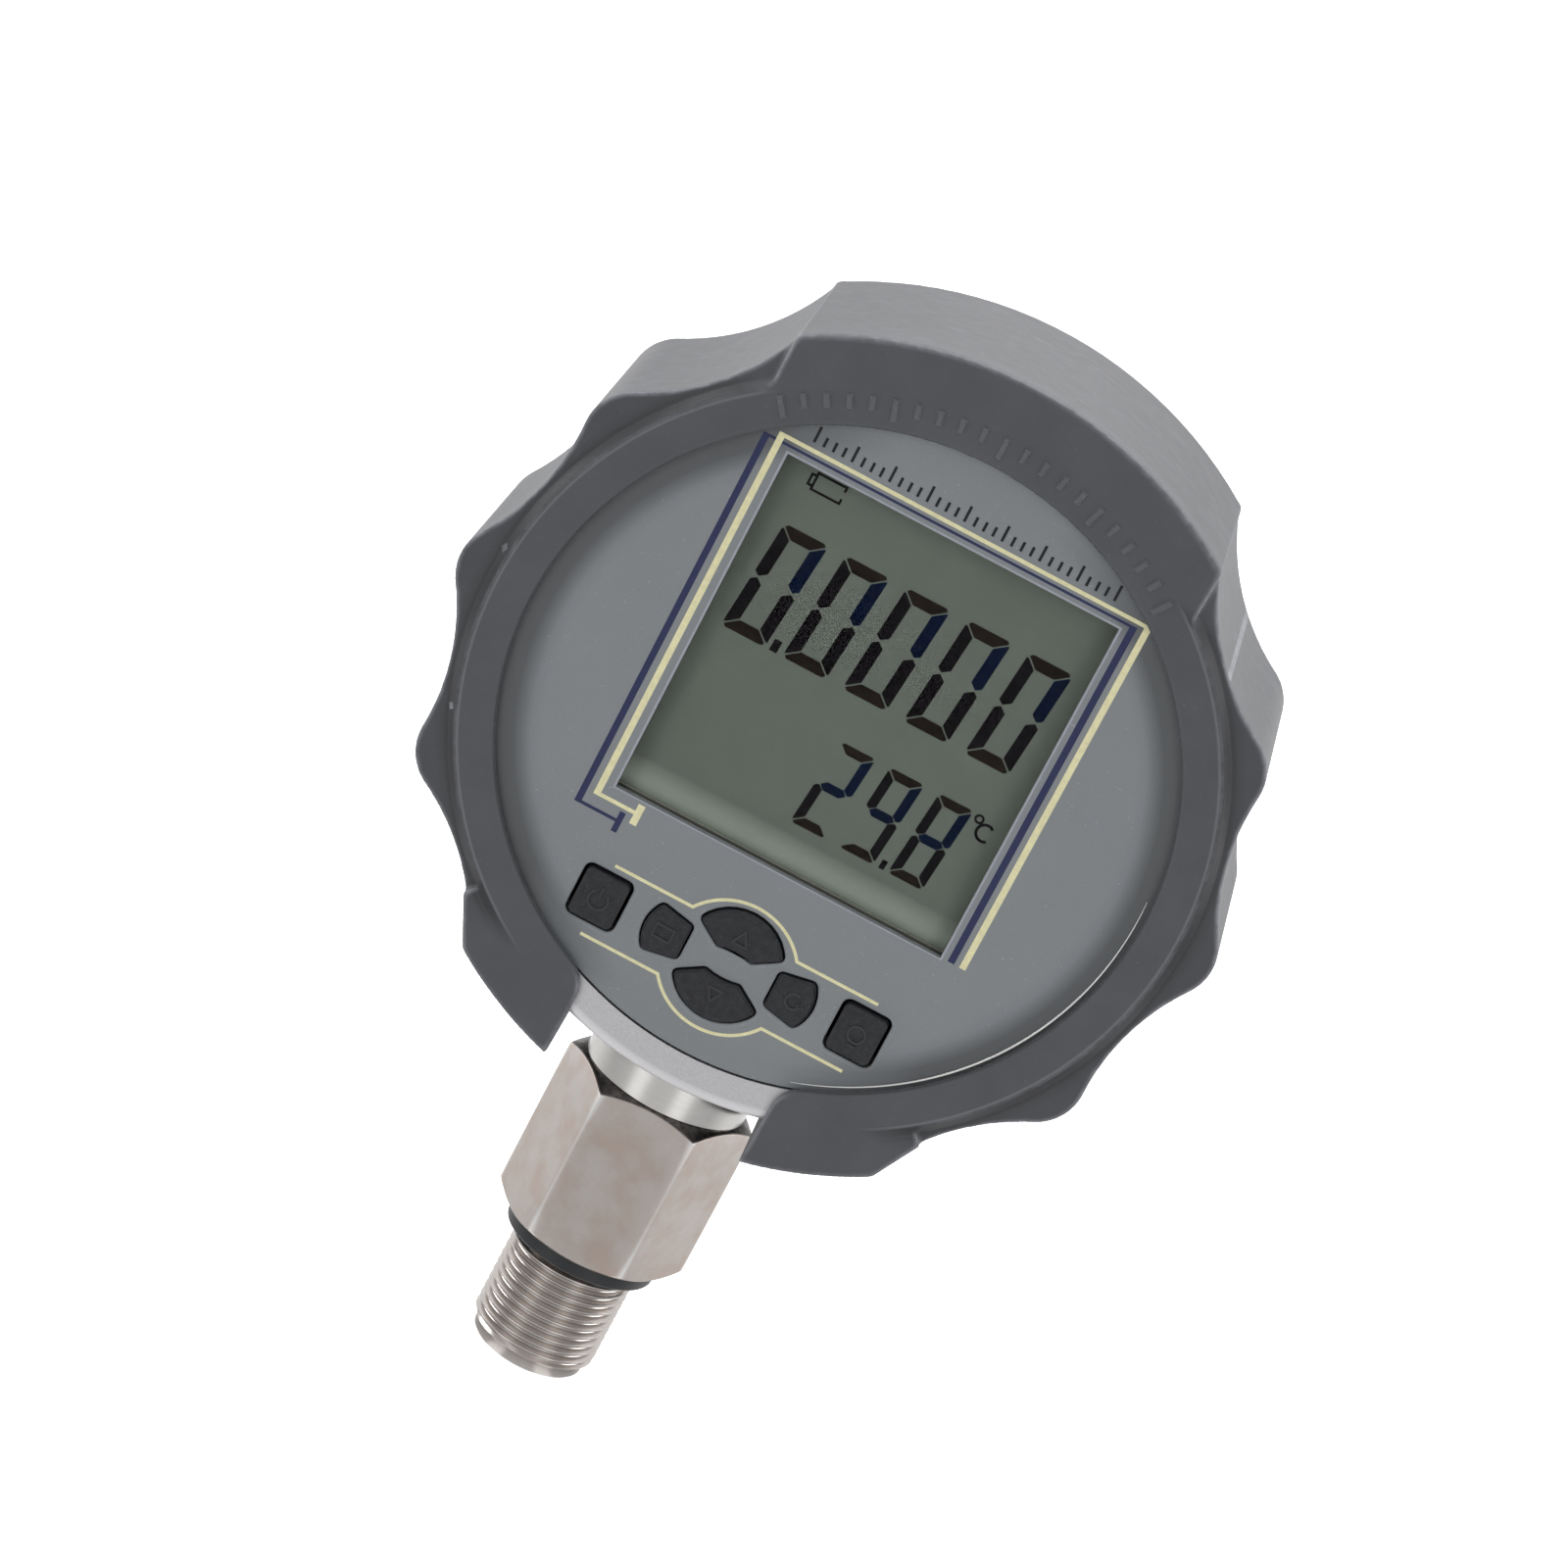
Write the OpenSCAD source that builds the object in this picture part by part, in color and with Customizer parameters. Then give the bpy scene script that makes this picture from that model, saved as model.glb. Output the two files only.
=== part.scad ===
// Digital pressure gauge for a threaded pipe connection, with a rubber boot round its round case.
// The origin is on the stem's axis at the sealing shoulder, +Z runs up the stem, the dial faces -Y.

/* [Case] */
// Outer radius of the round case
case_r = 56; // [50:0.5:62]
// Thickness of the case's side wall
case_wall = 2.5; // [2:0.1:3]
// Width of the silver rim round the front panel
rim_w = 5.6; // [5.2:0.1:6]
// Radius on the rim's outer front edge
rim_round = 1.2; // [0.5:0.1:2.2]
// How far the stem's axis lies in front of the middle of the case's depth
stem_front = 0.8; // [0:0.05:1.5]

/* [Front panel] */
// Thickness of the printed front plate
panel_t = 1.2; // [0.8:0.1:1.6]
// How far the plate sits below the rim
panel_recess = 0.2; // [0:0.05:0.5]
// Gap between the plate and the rim
panel_gap = 0.3; // [0.2:0.05:0.5]
// Thickness of the moulded carrier behind the plate
carrier_t = 2; // [1.8:0.1:2.6]

/* [Display] */
// Width of the display opening
win_w = 53.1; // [44:0.1:54]
// Height of the display opening
win_h = 56; // [44:0.1:57]
// Height of the display's middle above the dial centre
win_mid = 9.2; // [8.5:0.1:10]
// How far the clear window and the glass reach past the opening on each side
win_lap = 1.4; // [1:0.1:1.5]
// Thickness of the clear window
win_t = 1.5; // [1:0.1:1.7]
// Thickness of the foam seal in front of the display glass
foam_t = 0.8; // [0.5:0.1:1]
// Thickness of the display glass
lcd_t = 2.8; // [2:0.1:3]
// Thickness of the backlight
light_t = 2.8; // [2:0.1:3]
// Wall of the frame that holds the display
frame_wall = 1.2; // [0.8:0.1:1.4]

/* [Keys] */
// Height of the key row's middle below the dial centre
key_drop = 35; // [34.5:0.1:36]
// Reach of the up and down keys above and below the row's middle
key_fan_reach = 8.9; // [8.4:0.1:9]
// Width of the up and down keys
key_fan_w = 13.8; // [12:0.1:14]
// Height of a fan key's outer corners from the row's middle
key_fan_corner = 4.55; // [4:0.05:5]
// Width of a square key
key_square_w = 7.6; // [6:0.1:8]
// Height of a square key
key_square_h = 8.3; // [6:0.1:9]
// Distance of a square key's middle from the centre line
key_square_x = 21.2; // [20.5:0.1:23]
// Inner edge of a side key, from the centre line
key_side_in = 7.1; // [7:0.1:8]
// Outer corner of a side key, from the centre line
key_side_out = 12.5; // [11:0.1:12.6]
// How far the keys stand out of the panel
key_proud = 0.8; // [0.3:0.1:1.2]
// Travel of a key
key_travel = 0.6; // [0.4:0.1:0.8]
// Gap round a key in its hole
key_gap = 0.3; // [0.2:0.05:0.4]

/* [Circuit board] */
// Thickness of the circuit board
board_t = 1.6; // [1:0.1:2]
// Gap between the edge of the circuit board and the case wall
board_gap = 5.5; // [5:0.1:7]
// Depth of the moulded frame behind the display glass, down to the board
frame_floor_t = 1.2; // [0.8:0.1:1.6]

/* [Back] */
// Room behind the circuit board for its parts
board_room = 7.5; // [6:0.1:9]
// Thickness of the rear cover
cover_t = 3; // [2.6:0.1:3.2]
// Distance of the cover screws' middles from the case wall
screw_inset = 5; // [4.6:0.1:6]
// Radius of a cell
cell_r = 7.25; // [5.2:0.05:7.25]
// Length of a cell without its nub
cell_len = 49.3; // [44:0.1:50.5]

/* [Stem] */
// Outer radius of the connection thread
thread_r = 10; // [8:0.25:10.25]
// Pitch of the connection thread
thread_pitch = 1.5; // [1:0.25:2]
// Length from the sealing shoulder to the end of the thread
thread_len = 19.4; // [14:0.1:24]
// Length of the plain end under the thread
pilot_len = 1.7; // [1:0.1:3]
// Width of the hexagon across its flats
hex_af = 27; // [26.5:0.5:30]
// Height of the hexagon
hex_h = 27.6; // [25:0.1:32]
// Height of the neck between the hexagon and the case
neck_h = 6.4; // [6:0.1:16]
// Radius of the round neck above the hexagon
neck_r = 13.1; // [12.5:0.1:13.2]
// Thickness of the sealing ring under the hexagon
gasket_t = 2.4; // [1.5:0.1:3]
// Outer radius of the sealing ring under the hexagon
gasket_r = 12.2; // [11.5:0.1:12.4]
// Radius of the pressure port
port_r = 2.5; // [1.5:0.1:4]

/* [Boot] */
// How far the tips of the boot's lobes stand out of the case's side
lobe_rise = 5.8; // [5:0.1:7]
// Radius of the round tip of a lobe
lobe_round = 8; // [6:0.1:9]
// Thickness of the boot's side wall in the valleys
boot_wall = 1.9; // [1.4:0.1:2.1]
// Angle from one lobe to the next
lobe_pitch = 29.3; // [27:0.1:30]
// How far the plain top block and the two bottom tabs stand out of the case's side
block_rise = 6.8; // [6:0.1:8]
// Angle from the top to either side of the top block
block_half = 33; // [28:0.1:34]
// How far the front lip reaches in from the case's side
lip_lap = 6.3; // [5.8:0.1:8]
// Thickness of the front lip
lip_t = 1.4; // [1:0.1:3]
// How far the edge of the raised front ring lies in from the case's side
ring_in = 0.4; // [0:0.1:1]
// How far the lobes lie behind the raised ring
lobe_back = 1.6; // [1:0.1:3]
// Thickness of the rear lip
tail_t = 2.2; // [1:0.1:3]
// Width of the gap that the stem comes through
boot_gap = 32.5; // [31:0.1:36]
// Turn of the boot on the case, as it was pushed on
boot_turn = 1.4; // [-2:0.1:2]

/* [Hidden] */
$fn = 72;
// Overrun of a cut past the face that it opens
over = 1;
// Least gap between pieces that only lie side by side
play = 0.3;
// Sliding or seated fit between round pieces
fit = 0.05;

// Depths are counted back from the rim's front plane
panel_back = panel_recess + panel_t;
carrier_back = panel_back + carrier_t;
glass_front = carrier_back + foam_t;
glass_back = glass_front + lcd_t;
light_back = glass_back + light_t;
board_front = light_back + frame_floor_t;
board_back = board_front + board_t;
recess_r = case_r - rim_w;
panel_r = recess_r - panel_gap;
inner_r = case_r - case_wall;
// The sizes of display, keys, board parts and cells hold for a plate of this radius, and they
// grow and shrink with the plate
drawn_r = 50.1;
plate = panel_r / drawn_r;
open_w = plate * win_w;
open_h = plate * win_h;
open_mid = plate * win_mid;
row_drop = plate * key_drop;
can_r = plate * cell_r;
can_len = plate * cell_len;
board_r = inner_r - board_gap;
case_depth = board_back + board_room + 2 * can_r + cover_t;
case_front = case_depth / 2 - stem_front;
dial_h = hex_h + neck_h + case_r;
ledge_w = 2.1;
ledge_r = recess_r - ledge_w;
ledge_t = 2;
glass_w = open_w + 2 * win_lap;
glass_h = open_h + 2 * win_lap;

// Key places and outlines, in the plane of the dial
key_side_h_in = 2.85;
key_side_h_out = 3.9;
key_side_bulge = 1.3;
key_fan_in_x = 2.8;
key_fan_in_z = 1.9;
key_arch = 0.4;
key_corner = 0.5;
key_square_corner = 0.8;
key_crown = 0.25;
key_top = panel_recess - key_proud;
collar_wall = 0.7;
flange_w = 0.3;
flange_t = 0.8;
pill_t = 0.7;
pill_r = 1.6;
pill_back = board_front - key_travel - fit;
collar_back = pill_back - pill_t - flange_t - play;
mat_t = 1.2;
mat_rim = 1;
fan_steps = 12;
side_steps = 8;
arch_steps = 4;
corner_steps = 5;
sharp_turn = 20;
side_mid = plate * (key_side_in + key_side_out) / 2;
fan_mid = plate * (key_fan_in_z + key_fan_reach) / 2;
key_low = row_drop + plate * key_fan_reach + key_gap + flange_w + play + mat_rim;

// Back cover, battery well and their fastenings
cover_gap = 0.1;
seat_wall = 1.7;
seat_r = case_r - seat_wall;
screw_circle_r = inner_r - screw_inset;
cover_r = seat_r - cover_gap;
cover_front = case_depth - cover_t;
groove_d = 1.3;
groove_h = 1.6;
ring_cord = (cover_gap + fit + groove_d) / 2;
screw_r = 1.5;
screw_head_r = 2.8;
screw_head_t = 1.6;
screw_len = 9;
slot_share = 0.25;
slot_reach_share = 1.2;
boss_r = 3.5;
boss_len = 16;
boss_rib = 3;
cell_gap = 0.6;
cell_count = 3;
nub_r = 2.6;
nub_len = 1.2;
spring_len = 4;
spring_r = 3.6;
spring_wire = 0.8;
plate_t = 0.5;
well_wall = 1.5;
well_mid = 2.5;
well_w = cell_count * 2 * can_r + (cell_count + 1) * cell_gap;
well_h = can_len + nub_len + spring_len + 2 * plate_t;
well_front = cover_front - 2 * can_r + play;
door_t = 1.5;
door_lap = 3;
door_ear = 7;
door_gap = 0.25;
door_seal_t = 1;
door_seal_w = 1.2;
door_w = well_w + 2 * door_lap;
door_h = well_h + 2 * door_ear;
door_screw_z = well_h / 2 + door_ear / 2;
door_screw_len = 5;
grip_pitch = 3.5;
grip_h = 1.75;
grip_d = 0.5;
grip_w_share = 0.5;
grip_drop_share = 1 / 3;
door_boss_r = 3;

// Stem
hex_r = hex_af / 2 / cos(30);
chamfer_slope = tan(30);
chamfer_in = 0.7;
chamfer_r = hex_af / 2 - chamfer_in;
thread_shares = [0.65, 0.7, 0.8];
relief_r = thread_r - thread_shares[0] * thread_pitch;
pilot_r = thread_r - thread_shares[1] * thread_pitch;
relief_len = thread_shares[2] * thread_pitch;
gasket_fit = 0.1;
gasket_bore = thread_r + gasket_fit;
sensor_r = 9.5;
sensor_z = 5;
sensor_cavity_r = 8;
sensor_cavity = 0.8;
sensor_groove = 1.6;
sensor_groove_d = 1.1;
sensor_cord = (sensor_groove_d + 2 * fit) / 2;
sensor_ring_z = 3;
retainer_h = 4;
stem_room = 1.6;
retainer_bore = 6;
neck_groove = 0.8;
neck_groove_r = neck_r - neck_groove;
neck_bore = 5;
neck_plug_r = sensor_r;
neck_plug = 5.5;
sensor_h = hex_h - sensor_z - retainer_h - neck_plug - stem_room;
pad_step = 0.9;
pad_r = neck_r + pad_step;
pad_out = 0.6;
pad_z = dial_h - case_r - pad_out;
spigot_r = 8;
nut_land = 1.2;
nut_seat = inner_r - nut_land;
nut_seat_r = 13;
nut_t = 4;
nut_af = 21;
spigot_top = dial_h - nut_seat + nut_t + play;
seal_t = 1;
seal_wall = 1;
seal_in = spigot_r + seal_wall;
seal_out = neck_r - 1.5 * seal_wall;
seal_squeeze = 0.2;
flex_w = 6;
flex_t = 0.3;
flex_tail = 5;
flex_inset = 4.6;
socket_w = 8;
socket_t = 2;
chip_w = 12;
chip_t = 1.4;
chip_x = -14;
chip_z = -12;
standoff_x = 36;
standoff_z = 18;
standoff_r = 2.8;
board_screw_r = 1.25;
board_screw_head = 2.4;
board_screw_head_t = 1.4;
board_screw_len = 6;
strip_w = 2;
board_low = key_low + play;
flex_top = dial_h - board_low + flex_inset;

// Boot
boot_front = -lip_t;
boot_back = case_depth + tail_t;
lobe_level = lobe_back - lip_t;
lobe_tip = case_r + lobe_rise;
valley_r = case_r + boot_wall;
block_r = case_r + block_rise;
block_w = 2 * block_r * sin(block_half);
lip_r = case_r - lip_lap;
ring_r = case_r - ring_in;
ring_slope = 1.4;
tail_lap = 5.8;
tail_r = case_r - tail_lap;
tab_angle = 147;
tab_foot_angle = 139.5;
tab_foot = 0.8;
tab_foot_r = valley_r + tab_foot;
lip_corner = 5.5;
edge_soft = 0.8;
tab_lap = 1;
bite = 0.02;
lobe_angles = [for (i = [-1:1]) 90 + i * lobe_pitch];
valley_angles = [for (i = [-1.5:1:1.5]) 90 + i * lobe_pitch];
lobe_centre_r = lobe_tip - lobe_round;
// Radius of the valley arc that runs tangent into the two lobe tips beside it
valley_arc = tangent_arc(lobe_centre_r, valley_r, lobe_round, lobe_pitch / 2);

function unit(v) = v / norm(v);
function left_of(v) = [-v.y, v.x];
function spin(v, a) = [v.x * cos(a) - v.y * sin(a), v.x * sin(a) + v.y * cos(a)];
// A point of the dial plane by its angle clockwise from the top
function dial(a, r) = [r * sin(a), r * cos(a)];
function line_hit(p, u, q, w) = p + cross(q - p, w) / cross(u, w) * u;
function tangent_arc(tip, low, round, half) =
    (low * low + tip * tip - 2 * low * tip * cos(half) - round * round)
    / (2 * (round + tip * cos(half) - low));
function arc(c, r, from, to, steps) =
    [for (i = [0:steps]) let (a = from + (to - from) * i / steps) c + r * [cos(a), sin(a)]];
// Radius of an arc by half its width and its rise
function bow(w, h) = (w * w + h * h) / (2 * h);
// An outline, run anticlockwise, with every side moved in by d
function moved_in(p, d) = let (n = len(p)) [for (i = [0:n - 1])
    let (a = p[(i + n - 1) % n], b = p[i], c = p[(i + 1) % n], u = unit(b - a), w = unit(c - b))
    line_hit(a + d * left_of(u), u, b + d * left_of(w), w)];
// An outline with its sharp corners rounded to r
function softened(p, r) = let (n = len(p)) [for (i = [0:n - 1])
    let (a = p[(i + n - 1) % n], b = p[i], c = p[(i + 1) % n], u = unit(b - a), w = unit(c - b),
        turn = atan2(cross(u, w), u * w), k = r * tan(abs(turn) / 2),
        o = b - k * u + sign(turn) * r * left_of(u))
    each abs(turn) < sharp_turn ? [b]
        : [for (j = [0:corner_steps]) o + spin(b - k * u - o, turn * j / corner_steps)]];
function mirrored_x(p) = [for (i = [len(p) - 1:-1:0]) [-p[i].x, p[i].y]];
function mirrored_z(p) = [for (i = [len(p) - 1:-1:0]) [p[i].x, -p[i].y]];

function square_key(side) = let (w = key_square_w / 2, h = key_square_h / 2, x = side * key_square_x)
    plate * [[x - w, -h], [x + w, -h], [x + w, h], [x - w, h]];
function side_key() = let (r = bow(key_side_h_out, key_side_bulge), half = asin(key_side_h_out / r))
    plate * concat([[key_side_in, -key_side_h_in]],
        arc([key_side_out + key_side_bulge - r, 0], r, -half, half, side_steps),
        [[key_side_in, key_side_h_in]]);
function fan_key() =
    let (w = key_fan_w / 2, r = bow(w, key_fan_reach - key_fan_corner), half = asin(w / r),
        q = bow(key_fan_in_x, key_arch), in_half = asin(key_fan_in_x / q))
    plate * concat(arc([0, key_fan_reach - r], r, 90 - half, 90 + half, fan_steps),
        arc([0, key_fan_in_z + key_arch - q], q, 90 + in_half, 90 - in_half, arch_steps));

module at_dial() translate([0, -case_front, dial_h]) children();
// A flat shape of the dial plane, from depth d back through t
module slab(d, t) translate([0, d + t, 0]) rotate([90, 0, 0]) linear_extrude(t) children();
// A profile of radius and depth, turned round the dial's axis
module turned() rotate([-90, 0, 0]) rotate_extrude() children();
module disc(d, t, r) translate([0, d + t, 0]) rotate([90, 0, 0]) cylinder(h = t, r = r);
module rod(d, t, r, x, z) translate([x, 0, z]) disc(d, t, r);
module box_at(w, h, mid) translate([-w / 2, mid - h / 2]) square([w, h]);
module tube(h, r, bore) difference() {
    cylinder(h = h, r = r);
    translate([0, 0, -over]) cylinder(h = h + 2 * over, r = bore);
}
module at_screws() for (a = [45:90:315]) let (p = dial(a, screw_circle_r))
    translate([p.x, 0, p.y]) children();
module at_door_screws() for (s = [-1, 1]) translate([0, 0, well_mid + s * door_screw_z]) children();
module at_standoffs() for (x = [-1, 1], z = [-1, 1])
    translate(plate * [x * standoff_x, 0, z * standoff_z]) children();

// The valley arcs and lip corners bite a hair into the rounds that they run into
module boot_valleys() for (s = [-1, 1], a = valley_angles)
    translate(dial(s * a, valley_r + valley_arc)) circle(r = valley_arc + bite, $fn = 180);

// What stands outside a lobe's round tip, between the points where the valley arcs run into it
module lobe_shoulders() for (s = [-1, 1], a = lobe_angles)
    let (c = dial(s * a, lobe_centre_r),
        v = [for (k = [-1, 1]) dial(s * a + k * lobe_pitch / 2, valley_r + valley_arc)],
        t = [for (k = [0, 1]) c + lobe_round * unit(v[k] - c)])
    difference() {
        polygon([t[0], (t[0] + v[0]) / 2, dial(s * a, 2 * block_r), (t[1] + v[1]) / 2, t[1]]);
        translate(c) circle(r = lobe_round);
    }

module boot_lobes() difference() {
    circle(r = lobe_tip + over, $fn = 180);
    boot_valleys();
    lobe_shoulders();
    translate([over - block_w / 2, 0]) square([block_w - 2 * over, 2 * block_r]);
    polygon([[0, 0], dial(tab_foot_angle + tab_lap, 2 * block_r), [0, -2 * block_r],
        dial(-tab_foot_angle - tab_lap, 2 * block_r)]);
}

module boot_block() translate([-block_w / 2, 0]) square([block_w, 2 * block_r]);

module boot_tabs() for (s = [-1, 1])
    polygon([[0, 0], dial(s * tab_foot_angle, tab_foot_r), dial(s * tab_angle, block_r),
        dial(s * tab_angle, 2 * block_r), [0, -2 * block_r]]);

// Envelope that rounds the front and back edges of the block and the tabs
module boot_edges() turned() {
    translate([0, boot_front]) square([block_r - edge_soft, boot_back - boot_front]);
    translate([0, boot_front + edge_soft]) square([block_r, boot_back - boot_front - 2 * edge_soft]);
    for (d = [boot_front + edge_soft, boot_back - edge_soft])
        translate([block_r - edge_soft, d]) circle(r = edge_soft);
}

// The front lip's corner at the stem gap, outside the round that it ends in
module lip_corners() for (s = [-1, 1])
    let (x = boot_gap / 2 + lip_corner, z = -sqrt(pow(lip_r + lip_corner, 2) - x * x),
        k = (lip_r - over) / (lip_r + lip_corner) * [x, z])
    difference() {
        polygon([[s * (boot_gap / 2 - over), z], [s * x, z], [s * k.x, k.y],
            [s * (boot_gap / 2 - over), k.y]]);
        translate([s * x, z]) circle(r = lip_corner + bite);
    }

module rubber_boot() color("dimgray") at_dial() rotate([0, boot_turn, 0]) difference() {
    union() {
        slab(lobe_level, boot_back - lobe_level) boot_lobes();
        intersection() {
            slab(boot_front - over, boot_back - boot_front + 2 * over) {
                boot_block();
                boot_tabs();
            }
            boot_edges();
        }
        turned() polygon([[lip_r - over, boot_front], [ring_r, boot_front],
            [ring_r + ring_slope, lobe_level], [ring_r + ring_slope, lobe_level + over],
            [lip_r - over, lobe_level + over]]);
    }
    disc(boot_front - over, lip_t + 2 * over, lip_r);
    disc(0, case_depth, case_r);
    disc(case_depth - over, tail_t + 2 * over, tail_r);
    slab(boot_front - over, boot_back - boot_front + 2 * over) {
        translate([-boot_gap / 2, -2 * block_r]) square([boot_gap, 2 * block_r]);
        lip_corners();
    }
}

module case_profile() {
    difference() {
        polygon([[recess_r, 0], [case_r, 0], [case_r, case_depth], [seat_r, case_depth],
            [seat_r, cover_front], [inner_r, cover_front], [inner_r, carrier_back + ledge_t],
            [ledge_r, carrier_back + ledge_t], [ledge_r, carrier_back], [recess_r, carrier_back]]);
        translate([case_r - rim_round, -over]) square([rim_round + over, rim_round + over]);
    }
    translate([case_r - rim_round, rim_round]) circle(r = rim_round);
}

module case() color("silver") at_dial() difference() {
    union() {
        turned() case_profile();
        translate([0, case_front, -case_r - pad_out]) cylinder(h = case_r + pad_out - nut_seat, r = pad_r);
        at_screws() disc(cover_front - boss_len, boss_len, boss_r);
        for (a = [45:90:315]) rotate([0, a, 0])
            translate([-boss_rib / 2, cover_front - boss_len, screw_circle_r])
                cube([boss_rib, boss_len, inner_r - screw_circle_r + case_wall / 2]);
    }
    translate([0, case_front, -case_r - pad_out - over]) cylinder(h = case_r, r = spigot_r + fit);
    translate([0, case_front, -nut_seat]) cylinder(h = nut_seat / 2, r = nut_seat_r);
    disc(cover_front, cover_t + over, seat_r);
    at_screws() disc(cover_front - screw_len - over, screw_len + 2 * over, screw_r + fit);
}

module key_shapes(grow) {
    for (s = [-1, 1]) polygon(softened(moved_in(square_key(s), -key_gap - grow), key_square_corner));
    for (p = [side_key(), mirrored_x(side_key()), fan_key(), mirrored_z(fan_key())])
        polygon(softened(moved_in(p, -key_gap - grow), key_corner));
}

module front_panel() color("slategray") at_dial() slab(panel_recess, panel_t) difference() {
    circle(r = panel_r);
    box_at(open_w, open_h, open_mid);
    translate([0, -row_drop]) key_shapes(0);
}

module panel_carrier() color("darkslategray") at_dial() difference() {
    union() {
        disc(panel_back, carrier_t, recess_r - panel_gap);
        slab(carrier_back, collar_back - carrier_back)
            translate([0, -row_drop]) key_shapes(collar_wall);
        at_standoffs() disc(carrier_back, board_front - carrier_back, standoff_r);
    }
    slab(panel_back - over, over + win_t) box_at(glass_w + 2 * fit, glass_h + 2 * fit, open_mid);
    slab(panel_back, carrier_t + over) box_at(open_w, open_h, open_mid);
    slab(panel_back - over, board_front) translate([0, -row_drop]) key_shapes(0);
    at_standoffs() disc(board_front - board_screw_len, board_screw_len + over, board_screw_r + fit);
}

module display_window() color("lightcyan", 0.4) at_dial()
    slab(panel_back, win_t) box_at(glass_w, glass_h, open_mid);

module window_foam() color("black") at_dial() slab(carrier_back, foam_t) difference() {
    box_at(glass_w, glass_h, open_mid);
    box_at(open_w + foam_t, open_h + foam_t, open_mid);
}

module lcd_glass() color("darkseagreen") at_dial()
    slab(glass_front, lcd_t) box_at(glass_w, glass_h, open_mid);

module backlight() color("white") at_dial()
    slab(glass_back, light_t) box_at(glass_w, glass_h - 4 * strip_w, open_mid);

module strip_places(grow) for (s = [-1, 1])
    box_at(glass_w - 2 * strip_w + grow, strip_w + grow, open_mid + s * (glass_h / 2 - strip_w));

module lcd_frame() color("ivory") at_dial() difference() {
    slab(carrier_back, board_front - carrier_back) intersection() {
        box_at(glass_w + 2 * (play + frame_wall), glass_h + 2 * (play + frame_wall), open_mid);
        circle(r = ledge_r - play);
    }
    slab(carrier_back - over, light_back - carrier_back + over)
        box_at(glass_w + 2 * play, glass_h + 2 * play, open_mid);
    slab(carrier_back, board_front) strip_places(play);
}

module contact_strips() color("dimgray") at_dial()
    slab(glass_back, board_front - glass_back) strip_places(0);

module main_board() color("darkgreen") at_dial() slab(board_front, board_t) difference() {
    intersection() {
        circle(r = board_r);
        translate([-board_r, -board_low]) square([2 * board_r, board_low + board_r]);
    }
    for (x = [-1, 1], z = [-1, 1]) translate(plate * [x * standoff_x, z * standoff_z])
        circle(r = board_screw_r + fit);
}

module main_chip() color("black") at_dial()
    slab(board_back, chip_t) translate(plate * [chip_x, chip_z]) square(chip_w, center = true);

module board_screws() color("silver") at_dial() at_standoffs() {
    disc(board_front - board_screw_len + play, board_screw_len - play + board_t, board_screw_r);
    disc(board_back, board_screw_head_t, board_screw_head);
}

module flex_socket() color("ivory") at_dial()
    slab(board_back, socket_t) box_at(socket_w, flex_tail, flex_top + flex_tail / 2 - dial_h);

module keypad_mat() color("darkgray") at_dial()
    slab(board_front - mat_t, mat_t) translate([0, -row_drop]) difference() {
        intersection() {
            box_at(2 * plate * (key_square_x + key_square_w / 2)
                + 2 * (key_gap + flange_w + play + mat_rim), 2 * (key_low - row_drop), 0);
            translate([0, row_drop]) circle(r = board_r);
        }
        key_shapes(flange_w + play);
        box_at(2 * plate * key_side_in, 2 * (plate * key_side_h_in + key_gap + flange_w + play), 0);
    }

// One key: a crowned head, a shank through the collar and a flange behind it
module push_key(p, corner) color("black") at_dial() translate([0, 0, -row_drop]) {
    slab(key_top, key_crown + fit) polygon(softened(moved_in(p, key_crown), corner));
    slab(key_top + key_crown, collar_back + play - key_top - key_crown) polygon(softened(p, corner));
    slab(collar_back + play - fit, flange_t + fit)
        polygon(softened(moved_in(p, -key_gap - flange_w), key_corner));
}
module key_power() push_key(square_key(-1), key_square_corner);
module key_menu() push_key(mirrored_x(side_key()), key_corner);
module key_up() push_key(fan_key(), key_corner);
module key_down() push_key(mirrored_z(fan_key()), key_corner);
module key_zero() push_key(side_key(), key_corner);
module key_light() push_key(square_key(1), key_square_corner);

// The conductive pill moulded under a key, which meets the board at full travel
module pill(x, z) color("dimgray") at_dial()
    rod(pill_back - pill_t, pill_t, pill_r, x, z - row_drop);
module pill_power() pill(-plate * key_square_x, 0);
module pill_menu() pill(-side_mid, 0);
module pill_up() pill(0, fan_mid);
module pill_down() pill(0, -fan_mid);
module pill_zero() pill(side_mid, 0);
module pill_light() pill(plate * key_square_x, 0);

module rear_cover() color("gray") at_dial() difference() {
    union() {
        difference() {
            disc(cover_front, cover_t, cover_r);
            turned() translate([cover_r - groove_d, cover_front + (cover_t - groove_h) / 2])
                square([groove_d + over, groove_h]);
        }
        slab(well_front - well_wall, cover_front - well_front + well_wall)
            box_at(well_w + 2 * well_wall, well_h + 2 * well_wall, well_mid);
        at_door_screws() disc(cover_front - door_screw_len, door_screw_len, door_boss_r);
    }
    slab(well_front, case_depth) box_at(well_w, well_h, well_mid);
    slab(case_depth - door_t, door_t + over)
        box_at(door_w + 2 * door_gap, door_h + 2 * door_gap, well_mid);
    slab(case_depth - door_t - door_seal_t, door_seal_t + over)
        box_at(well_w + 2 * door_seal_w, well_h + 2 * door_seal_w, well_mid);
    at_screws() {
        disc(cover_front - over, cover_t + 2 * over, screw_r + fit);
        disc(case_depth - screw_head_t, screw_head_t + over, screw_head_r + fit);
    }
    at_door_screws() disc(cover_front - door_screw_len + case_wall / 2, case_depth, screw_r + fit);
}

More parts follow.
